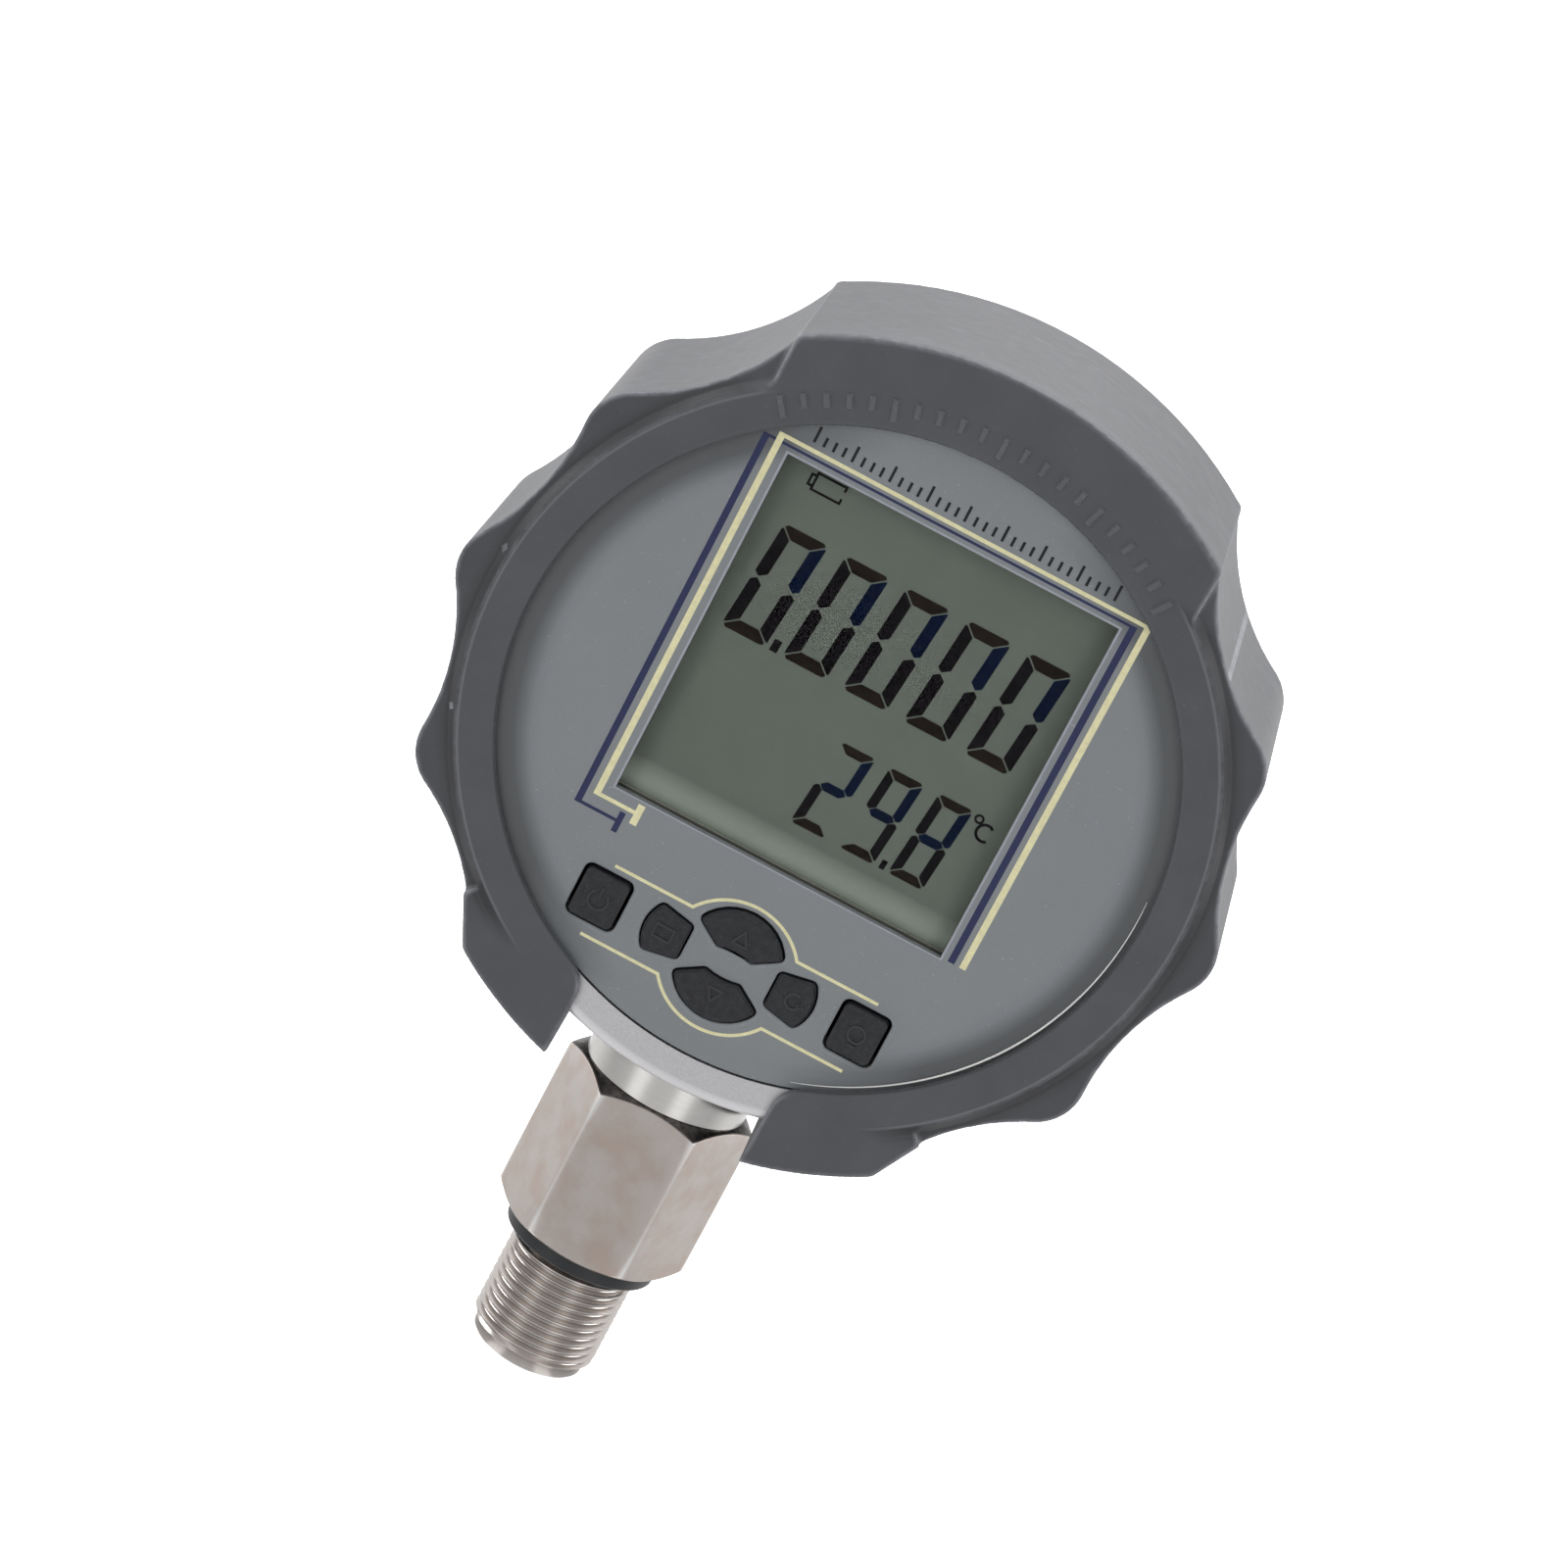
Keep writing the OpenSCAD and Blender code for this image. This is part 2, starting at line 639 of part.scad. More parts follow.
module cover_seal() color("black") at_dial() turned()
    translate([cover_r - groove_d + ring_cord, cover_front + cover_t / 2]) circle(r = ring_cord);

module cover_screws() color("silver") at_dial() at_screws() difference() {
    union() {
        disc(case_depth - screw_head_t, screw_head_t, screw_head_r);
        disc(cover_front - screw_len, screw_len + cover_t - screw_head_t, screw_r);
    }
    cross_slot(case_depth, screw_head_r);
}

module cross_slot(d, r) for (w = [[1, slot_share], [slot_share, 1]])
    slab(d - screw_head_t / 2, screw_head_t)
        box_at(w[0] * r * slot_reach_share, w[1] * r * slot_reach_share, 0);

module battery_door() color("dimgray") at_dial() difference() {
    slab(case_depth - door_t, door_t) box_at(door_w, door_h, well_mid);
    at_door_screws() disc(case_depth - door_t - over, door_t + 2 * over, screw_r + fit);
    at_door_screws() disc(case_depth - screw_head_t / 2, screw_head_t, screw_head_r + fit);
    for (i = [-2:2]) translate([0, 0, well_mid + i * grip_pitch - grip_drop_share * well_h])
        slab(case_depth - grip_d, door_t) box_at(grip_w_share * well_w, grip_h, 0);
}

module door_seal() color("black") at_dial()
    slab(case_depth - door_t - door_seal_t, door_seal_t) difference() {
        box_at(well_w + 2 * door_seal_w, well_h + 2 * door_seal_w, well_mid);
        box_at(well_w, well_h, well_mid);
    }

module door_screws() color("silver") at_dial() at_door_screws() difference() {
    union() {
        disc(case_depth - screw_head_t / 2, screw_head_t / 2, screw_head_r);
        disc(cover_front - door_screw_len + case_wall / 2 + play,
            case_depth - cover_front + door_screw_len - case_wall / 2 - play, screw_r);
    }
    cross_slot(case_depth, screw_head_r);
}

// A cell of the battery, by its place from left to right
module cell(i) at_dial() translate([(i - (cell_count - 1) / 2) * (2 * can_r + cell_gap),
        well_front + can_r, well_mid - well_h / 2 + plate_t + spring_len]) {
    color("goldenrod") cylinder(h = can_len, r = can_r - fit);
    color("silver") translate([0, 0, can_len]) cylinder(h = nub_len, r = nub_r);
}
module battery_1() cell(0);
module battery_2() cell(1);
module battery_3() cell(2);

module at_cells() for (i = [0:cell_count - 1])
    translate([(i - (cell_count - 1) / 2) * (2 * can_r + cell_gap), 0, 0]) children();

module battery_springs() color("silver") at_dial() at_cells()
    translate([0, well_front + can_r, well_mid - well_h / 2 + plate_t])
        tube(spring_len, spring_r, spring_r - spring_wire);

module battery_plates() color("silver") at_dial() for (z = [well_mid - well_h / 2,
        well_mid + well_h / 2 - plate_t])
    at_cells() translate([-spring_r, well_front + can_r - spring_r, z])
        cube([2 * spring_r, 2 * spring_r, plate_t]);

module hex_blank() intersection() {
    cylinder(h = hex_h, r = hex_r, $fn = 6);
    rotate_extrude() let (r = hex_r + over, drop = (r - chamfer_r) * chamfer_slope)
        polygon([[0, 0], [chamfer_r, 0], [r, drop], [r, hex_h - drop], [chamfer_r, hex_h], [0, hex_h]]);
}

module process_connection() color("silver") difference() {
    union() {
        hex_blank();
        translate([0, 0, -relief_len - gasket_t]) cylinder(h = relief_len + gasket_t + over, r = relief_r);
        translate([0, 0, -thread_len]) cylinder(h = thread_len - gasket_t - relief_len / 2, r = thread_r);
        translate([0, 0, -thread_len - pilot_len]) cylinder(h = pilot_len + over, r = pilot_r);
    }
    translate([0, 0, -thread_len - pilot_len - over])
        cylinder(h = thread_len + pilot_len + sensor_z + over, r = port_r);
    translate([0, 0, sensor_z - sensor_cavity]) cylinder(h = hex_h, r = sensor_cavity_r);
    translate([0, 0, sensor_z]) cylinder(h = hex_h, r = sensor_r + fit);
}

module sealing_ring() color("black") translate([0, 0, -gasket_t]) tube(gasket_t, gasket_r, gasket_bore);

module sensor_capsule() color("silver") translate([0, 0, sensor_z]) difference() {
    cylinder(h = sensor_h, r = sensor_r);
    translate([0, 0, sensor_ring_z]) tube(sensor_groove, sensor_r + over, sensor_r - sensor_groove_d);
}

module sensor_ring() color("black") translate([0, 0, sensor_z + sensor_ring_z + sensor_groove / 2])
    rotate_extrude() translate([sensor_r - sensor_groove_d + sensor_cord, 0]) circle(r = sensor_cord);

module sensor_retainer() color("silver") translate([0, 0, sensor_z + sensor_h])
    tube(retainer_h, sensor_r, retainer_bore);

module neck() color("gainsboro") difference() {
    union() {
        translate([0, 0, hex_h - neck_plug]) cylinder(h = neck_plug + over, r = neck_plug_r);
        translate([0, 0, hex_h]) cylinder(h = neck_groove, r = neck_groove_r);
        translate([0, 0, hex_h + neck_groove]) cylinder(h = pad_z - hex_h - neck_groove, r = neck_r);
        translate([0, 0, pad_z - over]) cylinder(h = spigot_top - pad_z + over, r = spigot_r);
    }
    translate([0, 0, hex_h - neck_plug - over])
        cylinder(h = spigot_top - hex_h + neck_plug + 2 * over, r = neck_bore);
    translate([0, 0, pad_z - seal_t + seal_squeeze]) tube(seal_t, seal_out + fit, seal_in - fit);
}

module neck_seal() color("black") translate([0, 0, pad_z - seal_t + seal_squeeze])
    tube(seal_t - seal_squeeze, seal_out, seal_in);

module neck_nut() color("silver") translate([0, 0, dial_h - nut_seat]) difference() {
    cylinder(h = nut_t, r = nut_af / 2 / cos(30), $fn = 6);
    translate([0, 0, -over]) cylinder(h = nut_t + 2 * over, r = spigot_r + fit);
}

// Flat cable from the sensor up through the neck and forward to its socket on the board
module sensor_flex() color("orange") let (y = board_back + socket_t - case_front, low = sensor_z + sensor_h)
    translate([-flex_w / 2, 0, 0]) rotate([90, 0, 90]) linear_extrude(flex_w) polygon([
        [0, low], [flex_t, low], [flex_t, spigot_top + play], [y + flex_t, flex_top],
        [y + flex_t, flex_top + flex_tail], [y, flex_top + flex_tail], [y, flex_top],
        [0, spigot_top + play]]);

rubber_boot();
case();
front_panel();
panel_carrier();
display_window();
window_foam();
lcd_glass();
backlight();
lcd_frame();
contact_strips();
main_board();
main_chip();
board_screws();
flex_socket();
keypad_mat();
key_power();
key_menu();
key_up();
key_down();
key_zero();
key_light();
pill_power();
pill_menu();
pill_up();
pill_down();
pill_zero();
pill_light();
rear_cover();
cover_seal();
cover_screws();
battery_door();
door_seal();
door_screws();
battery_1();
battery_2();
battery_3();
battery_springs();
battery_plates();
process_connection();
neck();
neck_nut();
neck_seal();
sealing_ring();
sensor_capsule();
sensor_ring();
sensor_retainer();
sensor_flex();
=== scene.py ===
"""Looks of the digital pressure gauge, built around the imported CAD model."""
from math import acos, atan2, copysign, cos, degrees, pi, radians, sin, sqrt, tan

import bmesh
import bpy
from bpy.props import FloatProperty, FloatVectorProperty, IntProperty, PointerProperty
from mathutils import Matrix, Vector


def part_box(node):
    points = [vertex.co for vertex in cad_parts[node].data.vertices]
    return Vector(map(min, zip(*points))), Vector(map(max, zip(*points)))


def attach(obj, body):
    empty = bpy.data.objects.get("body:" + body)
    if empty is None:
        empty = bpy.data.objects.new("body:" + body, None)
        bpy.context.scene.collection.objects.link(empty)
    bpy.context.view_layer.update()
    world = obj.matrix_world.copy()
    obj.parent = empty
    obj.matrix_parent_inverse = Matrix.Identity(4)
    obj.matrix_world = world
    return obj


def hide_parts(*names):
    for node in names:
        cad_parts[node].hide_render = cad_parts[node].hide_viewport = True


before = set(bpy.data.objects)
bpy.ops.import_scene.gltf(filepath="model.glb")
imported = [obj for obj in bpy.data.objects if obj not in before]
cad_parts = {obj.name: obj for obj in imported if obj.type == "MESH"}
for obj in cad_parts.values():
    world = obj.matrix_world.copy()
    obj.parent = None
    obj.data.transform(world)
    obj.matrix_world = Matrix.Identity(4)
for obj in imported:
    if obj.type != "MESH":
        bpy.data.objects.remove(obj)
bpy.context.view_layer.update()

bl_info = {
    "name": "Pressure gauge dresser",
    "version": (1, 0, 0),
    "blender": (4, 5, 0),
    "location": "View3D > Sidebar > Gauge",
    "description": "Dresses the CAD model of a digital pressure gauge with finishes and fine pieces",
    "category": "Object",
}

MM = 0.001
WELD = 1e-7
RIM_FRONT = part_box("case")[0].y
PANEL_LOW, PANEL_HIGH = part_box("front_panel")
CENTRE_Z = (PANEL_LOW.z + PANEL_HIGH.z) / 2
STEM_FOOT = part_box("process_connection")[0].z


def front_of(node):
    """How far in mm the front of a node lies behind the front of the case."""
    return (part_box(node)[0].y - RIM_FRONT) / MM


PANEL_DEPTH = front_of("front_panel")
BOOT_FRONT = front_of("rubber_boot")
GLASS_DEPTH = front_of("lcd_glass")
KEY_DEPTH = front_of("key_power")
KEY_BODIES = {"key_power": "power_button", "key_menu": "menu_button", "key_up": "up_button",
              "key_down": "down_button", "key_zero": "zero_button", "key_light": "light_button"}


def linear(red, green, blue):
    """A screen colour of 0 to 255 as the linear values that shaders take."""
    return tuple(((c / 255 + 0.055) / 1.055) ** 2.4 if c > 10 else c / 255 / 12.92
                 for c in (red, green, blue))


def colour(name, text, *rgb):
    return FloatVectorProperty(name=name, description=text, default=linear(*rgb), size=3,
                               min=0, max=1, subtype="COLOR")


def length(name, text, mm, low=0.0, high=0.2):
    return FloatProperty(name=name, description=text, default=mm * MM, min=low, max=high,
                         precision=5, unit="LENGTH", subtype="DISTANCE")


class GaugeColours(bpy.types.PropertyGroup):
    boot: colour("Boot", "Rubber of the protective boot", 78, 79, 83)
    panel: colour("Front plate", "Satin ground of the printed plate", 128, 132, 135)
    print_dark: colour("Dark print", "Black print on the plate", 26, 26, 29)
    print_blue: colour("Blue print", "Navy lines on the plate", 44, 49, 84)
    print_cream: colour("Cream print", "Pale yellow lines on the plate", 224, 219, 176)
    # The opening's edge colour is a painted highlight on the cut edge of the display opening.
    print_white: colour("Opening's edge", "Pale line round the display opening", 158, 160, 168)
    display: colour("Display ground", "Grey-green ground of the display", 103, 110, 102)
    segment: colour("Segment", "Dark segments of the display", 13, 10, 14)
    segment_blue: colour("Blue segment", "Segments that read dark blue", 0, 12, 38)
    segment_brown: colour("Brown segment", "Segments that read dark brown", 27, 20, 17)
    keys: colour("Keys", "Silicone of the keys", 36, 37, 40)
    case: colour("Case", "Blasted metal of the case", 224, 223, 225)
    stem: colour("Stem", "Steel of the hexagon and the thread", 214, 207, 202)
    neck: colour("Neck", "Polished steel of the neck", 228, 226, 223)
    seal: colour("Seals", "Black rubber of the seals", 34, 36, 38)
    cover: colour("Rear cover", "Moulded plastic of the rear cover", 58, 60, 64)
    board: colour("Circuit board", "Solder mask of the circuit board", 22, 74, 46)
    wrap: colour("Cells", "Printed wrap of the cells", 150, 118, 52)


class GaugeSizes(bpy.types.PropertyGroup):
    boot_grain: length("Boot cell", "Cell size at which the boot is remeshed", 0.4, 0.0003, 0.002)
    boot_soften: IntProperty(name="Boot softening", description="Smoothing passes on the boot's edges",
                             default=2, min=0, max=20)
    print_proud: length("Print height", "How far printed lines stand on the plate", 0.03, 1e-5, 2e-4)
    segment_proud: length("Segment height", "How far segments stand on the display", 0.03, 1e-5, 2e-4)
    digit_height: length("Large digits", "Height of the large digits", 17.8)
    digit_width: length("Large digit width", "Width of the large digits", 7.1)
    digit_stroke: length("Large stroke", "Width of a segment of the large digits", 1.9)
    small_height: length("Small digits", "Height of the small digits", 14.3)
    small_width: length("Small digit width", "Width of the small digits", 5.6)
    small_stroke: length("Small stroke", "Width of a segment of the small digits", 1.45)
    key_edge: length("Key edge", "Radius on the edges of the keys", 0.35, 0.00005, 0.001)
    key_corner: length("Key corner", "Radius on the corners of the square keys", 1.8, 0.0001, 0.003)
    thread_pitch: length("Thread pitch", "Pitch of the connection thread", 1.5, 0.0005, 0.003)
    thread_depth: length("Thread depth", "Depth of the connection thread", 0.9, 0.0003, 0.002)
    hexagon: length("Hexagon", "Width of the hexagon across its flats", 27.0)
    lens: FloatProperty(name="Lens", description="Focal length of the camera", default=130.17,
                        min=20, max=300, unit="CAMERA")


def sizes():
    return bpy.context.scene.gauge_sizes


def in_mm(size):
    return getattr(sizes(), size) / MM


def chosen(name):
    """A colour of the sidebar as a plain tuple."""
    return tuple(getattr(bpy.context.scene.gauge_colours, name))


# Places and outlines in the plane of the dial, in mm: x to the right, z up, depth back from the rim

def at_dial(x, depth, z):
    return Vector((x * MM, RIM_FRONT + depth * MM, CENTRE_Z + z * MM))


def polar(angle, radius=1.0):
    """A point of the dial plane by its angle clockwise from the top."""
    a = radians(angle)
    return (radius * sin(a), radius * cos(a))


def arc(x, z, radius, start, end, steps):
    turns = [radians(start + (end - start) * i / steps) for i in range(steps + 1)]
    return [(x + radius * cos(a), z + radius * sin(a)) for a in turns]


# Mesh tools

def new_object(name, data):
    """An object that is in the scene."""
    made = bpy.data.objects.new(name, data)
    bpy.context.scene.collection.objects.link(made)
    return made


def add_mesh(name, verts, faces, materials, slot, marks=None, weld=True, **how):
    """A piece from points and faces; marks give each face the number of its material."""
    mesh = bpy.data.meshes.new(name)
    mesh.from_pydata([tuple(v) for v in verts], [], faces)
    for material in materials if isinstance(materials, list) else [materials]:
        mesh.materials.append(material)
    if marks:
        mesh.polygons.foreach_set("material_index", marks)
    bm = bmesh.new()
    bm.from_mesh(mesh)
    if weld:
        bmesh.ops.remove_doubles(bm, verts=bm.verts, dist=WELD)
        bmesh.ops.dissolve_degenerate(bm, edges=bm.edges, dist=WELD)
    bmesh.ops.recalc_face_normals(bm, faces=bm.faces)
    bm.to_mesh(mesh)
    bm.free()
    add_object(name, mesh, slot, **how)


def add_object(name, mesh, slot, body="housing", sharp=30, replaced=None):
    """A piece from a mesh, smooth apart from edges over the sharp angle in degrees."""
    mesh.shade_smooth()
    mesh.set_sharp_from_angle(angle=radians(sharp))
    piece = new_object(name, mesh)
    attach(piece, body)
    if replaced:
        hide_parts(replaced)


def loft(rings, closed=False):
    """Quads between rings of as many points each, and caps where the loft isn't closed."""
    n = len(rings[0])
    verts = [v for ring in rings for v in ring]
    faces = []
    for i in range(len(rings) if closed else len(rings) - 1):
        j = (i + 1) % len(rings)
        faces += [(i * n + k, i * n + (k + 1) % n, j * n + (k + 1) % n, j * n + k) for k in range(n)]
    if not closed:
        faces += [tuple(range(n - 1, -1, -1)), tuple((len(rings) - 1) * n + k for k in range(n))]
    return verts, faces


def joined(lofts):
    """Several lofts as one list of points and one of faces."""
    verts, faces = [], []
    for points, quads in lofts:
        faces += [tuple(len(verts) + i for i in quad) for quad in quads]
        verts += points
    return verts, faces


class Prisms:
    """Collects flat prisms of the dial plane into one mesh."""

    def __init__(self, front, back):
        self.front, self.back = front, back
        self.lofts, self.marks = [], []

    def collect(self, rings, closed=False, mark=0):
        self.lofts.append(loft(rings, closed))
        self.marks += [mark] * len(self.lofts[-1][1])

    def polygon(self, points, mark=0):
        self.collect([[at_dial(x, depth, z) for x, z in points] for depth in (self.front, self.back)],
                     mark=mark)

    def bar(self, x0, x1, z0, z1):
        self.polygon([(x0, z0), (x1, z0), (x1, z1), (x0, z1)])

    def stroke(self, path, width, closed=False):
        """A line of the given width with mitred corners."""
        n = len(path)
        rings = []
        for i in range(n):
            a = Vector(path[i - 1] if closed or i else path[i])
            b = Vector(path[i])
            c = Vector(path[(i + 1) % n] if closed or i < n - 1 else path[i])
            u = (b - a).normalized() if (b - a).length else (c - b).normalized()
            w = (c - b).normalized() if (c - b).length else u
            mid = Vector((-u.y - w.y, u.x + w.x)).normalized()
            reach = mid * (width / 2 / max(0.3, mid.dot(Vector((-u.y, u.x)))))
            left, right = b + reach, b - reach
            rings.append([at_dial(spot.x, depth, spot.y) for spot, depth in (
                (left, self.front), (right, self.front), (right, self.back), (left, self.back))])
        self.collect(rings, closed)

    def piece(self, name, material, slot, **how):
        add_mesh(name, *joined(self.lofts), material, slot, self.marks, weld=False, **how)


def rounded(profile, radius, steps=4):
    """A closed profile with its corners rounded, as far as its sides allow."""
    out = []
    for i, p in enumerate(profile):
        p = Vector(p)
        u, w = p - Vector(profile[i - 1]), Vector(profile[(i + 1) % len(profile)]) - p
        turn = atan2(u.x * w.y - u.y * w.x, u.dot(w))
        if abs(turn) < 0.1:
            out.append(tuple(p))
            continue
        k = min(radius * tan(abs(turn) / 2), 0.45 * u.length, 0.45 * w.length)
        start = p - k * u.normalized()
        side = Vector((-u.y, u.x)).normalized()
        centre = start + copysign(k / tan(abs(turn) / 2), turn) * side
        d = start - centre
        for t in (turn * s / steps for s in range(steps + 1)):
            out.append((centre.x + d.x * cos(t) - d.y * sin(t),
                        centre.y + d.x * sin(t) + d.y * cos(t)))
    return out


def stem_ring(spots):
    """Points round the stem's axis from angles in degrees with a radius and a height in mm."""
    return [Vector((r * MM * cos(radians(a)), r * MM * sin(radians(a)), z * MM))
            for a, r, z in spots]


def lathe(profile, count=128):
    """A closed profile of radius and height in mm, turned round the stem's axis."""
    return loft([stem_ring((360 * k / count, r, z) for k in range(count)) for r, z in profile],
                closed=True)


def cad_copy(node):
    """The node's solid as a clean mesh of its own, with flat parts joined into whole faces."""
    bm = bmesh.new()
    bm.from_mesh(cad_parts[node].data)
    bmesh.ops.remove_doubles(bm, verts=bm.verts, dist=WELD)
    bmesh.ops.dissolve_limit(bm, angle_limit=radians(1), verts=bm.verts, edges=bm.edges)
    mesh = bpy.data.meshes.new(node + "_dressed")
    bm.to_mesh(mesh)
    bm.free()
    return mesh


def with_modifiers(mesh, name, material, *modifiers):
    """The mesh after the given modifiers, each a type and its settings, in one material."""
    carrier = new_object(name + "_carrier", mesh)
    for kind, settings in modifiers:
        modifier = carrier.modifiers.new(kind, kind)
        for key, value in settings.items():
            setattr(modifier, key, value)
    depsgraph = bpy.context.evaluated_depsgraph_get()
    result = bpy.data.meshes.new_from_object(carrier.evaluated_get(depsgraph))
    bpy.data.objects.remove(carrier)
    result.name = name
    result.materials.clear()
    result.materials.append(material)
    return result


# Shader tools

# A Mix node has its sockets once for each type of data; these are the ones for colours
MIX_A, MIX_B, MIX_RESULT = 6, 7, 2


def add_node(tree, kind, inputs=None, **settings):
    """A shader node with its settings; an input is a value, a socket, or a node's first output."""
    node = tree.nodes.new("ShaderNode" + kind)
    for key, value in settings.items():
        setattr(node, key, value)
    for key, value in (inputs or {}).items():
        socket = node.inputs[key]
        if isinstance(value, bpy.types.Node):
            value = value.outputs[0]
        if isinstance(value, bpy.types.NodeSocket):
            tree.links.new(value, socket)
        else:
            socket.default_value = (*value, 1) if socket.type == "RGBA" else value
    return node


def add_ramp(tree, source, *stops):
    """A ramp along the source, each stop a place with a colour or a level of grey."""
    node = add_node(tree, "ValToRGB", {"Fac": source})
    elements = node.color_ramp.elements
    for i, (place, shade) in enumerate(stops):
        stop = elements[i] if i < 2 else elements.new(place)
        stop.position = place
        stop.color = (*shade, 1) if isinstance(shade, tuple) else (shade, shade, shade, 1)
    return node.outputs["Color"]


def blend_shaders(tree, share, first, second):
    return add_node(tree, "MixShader", {0: share, 1: first, 2: second})


def scaled(base, share):
    """A colour made darker or lighter by a share."""
    return tuple(min(1, c * share) for c in base)


def shades(base, low, high):
    """Stops between two shares of a colour, at the ends of what a noise reaches."""
    return [(0.3, scaled(base, low)), (0.7, scaled(base, high))]


class Finish:
    """A procedural material: one Principled shader and the nodes that vary it."""

    def __init__(self, name, metallic=0.0, rough=0.5, **sockets):
        self.material = bpy.data.materials.new(name)
        self.material.use_nodes = True
        self.tree = self.material.node_tree
        self.shader = self.tree.nodes["Principled BSDF"]
        self.place = self.add("TexCoord").outputs["Object"]
        self.relief = None
        for key, value in {"Metallic": metallic, "Roughness": rough, **sockets}.items():
            self.shader.inputs[key.replace("_", " ")].default_value = value

    def add(self, kind, inputs=None, **settings):
        return add_node(self.tree, kind, inputs, **settings)

    def feed(self, source, socket):
        self.tree.links.new(source, self.shader.inputs[socket])

    def grid(self, size, stretch=(1, 1, 1)):
        """Places measured in cells of the given size in mm, drawn out by stretch."""
        scale = [1 / (size * MM * s) for s in stretch]
        return self.add("Mapping", {"Vector": self.place, "Scale": scale}).outputs[0]

    def noise(self, size, stretch=(1, 1, 1), detail=3.0, rough=0.55):
        """Grain of the given size in mm."""
        return self.add("TexNoise", {"Vector": self.grid(size, stretch), "Scale": 1, "Detail": detail,
                                     "Roughness": rough}).outputs["Fac"]

    def cells(self, size):
        return self.add("TexVoronoi", {"Vector": self.grid(size), "Scale": 1}).outputs["Distance"]

    def between(self, source, low, high):
        """Runs from 0 to 1 while the source runs between two lengths in mm."""
        return self.add("MapRange", {"Value": source, "From Min": low * MM,
                                     "From Max": high * MM}).outputs["Result"]

    def along(self, axis, low, high):
        """Runs from 0 to 1 between two places in mm along an axis."""
        return self.between(self.add("SeparateXYZ", {0: self.place}).outputs[axis], low, high)

    def up_dial(self, low, high):
        """Runs from 0 to 1 between two heights in mm over the dial's middle."""
        return self.along("Z", CENTRE_Z / MM + low, CENTRE_Z / MM + high)

    def reach(self, low, high):
        """Runs from 0 to 1 between two distances in mm from the dial's axis."""
        flat = self.add("VectorMath", {0: self.place, 1: (1, 0, 1), 2: (0, 0, -CENTRE_Z)},
                        operation="MULTIPLY_ADD")
        far = self.add("VectorMath", {0: flat}, operation="LENGTH")
        return self.between(far.outputs["Value"], low, high)

    def times(self, first, second):
        return self.add("Math", {0: first, 1: second}, operation="MULTIPLY").outputs[0]

    def pointed(self, *levels):
        """Runs through the levels from hollows over faces, at about 0.5, to convex edges."""
        return self.ramp(self.add("NewGeometry").outputs["Pointiness"], *levels)

    def edges(self, most, start, full, fade):
        """Runs from 0 on faces to the given share on convex edges, broken up by grain."""
        grain = self.noise(3.0, detail=5, rough=0.7)
        return self.times(self.pointed((start, 0), (full, most)),
                          self.ramp(grain, (0.35, fade), (0.6, 1)))

    def ramp(self, source, *stops):
        return add_ramp(self.tree, source, *stops)

    def mix(self, share, first, second):
        """Blends two colours, each a socket or a plain colour, by a share."""
        node = self.add("Mix", {0: share, MIX_A: first, MIX_B: second}, data_type="RGBA")
        return node.outputs[MIX_RESULT]

    def paint(self, source):
        self.feed(source, "Base Color")

    def tint(self, base, spread, source):
        """Varies the base colour by a share up and down along the source."""
        self.paint(self.ramp(source, *shades(base, 1 - spread, 1 + spread)))

    def roughen(self, source, low, high):
        node = self.add("MapRange", {"Value": source, "To Min": low, "To Max": high})
        self.feed(node.outputs["Result"], "Roughness")

    def bump(self, source, depth):
        """Relief of the given depth in mm, over any relief made before."""
        inputs = {"Height": source, "Distance": depth * MM}
        if self.relief:
            inputs["Normal"] = self.relief
        self.relief = self.add("Bump", inputs).outputs["Normal"]
        self.feed(self.relief, "Normal")


# Finishes

def rubber(name, base, rough=(0.5, 0.66), worn_and_highlit=0.0):
    """Matt rubber with dust specks; the last argument lightens its edges, as wear and as painted edge
    highlights.
    """
    f = Finish(name, rough=0.6, Specular_IOR_Level=0.5, Sheen_Weight=0.18, Sheen_Roughness=0.45)
    ground = f.ramp(f.noise(9), *shades(base, 0.93, 1.07))
    dust = f.ramp(f.noise(0.5, detail=2, rough=0.7), (0.70, 0), (0.76, 1))
    skin = f.mix(dust, ground, scaled(base, 1.7))
    f.paint(boot_skin(f, skin, base, worn_and_highlit) if worn_and_highlit else skin)
    f.roughen(f.noise(2.5), *rough)
    f.bump(f.noise(0.28, detail=2), 0.012)
    return f.material


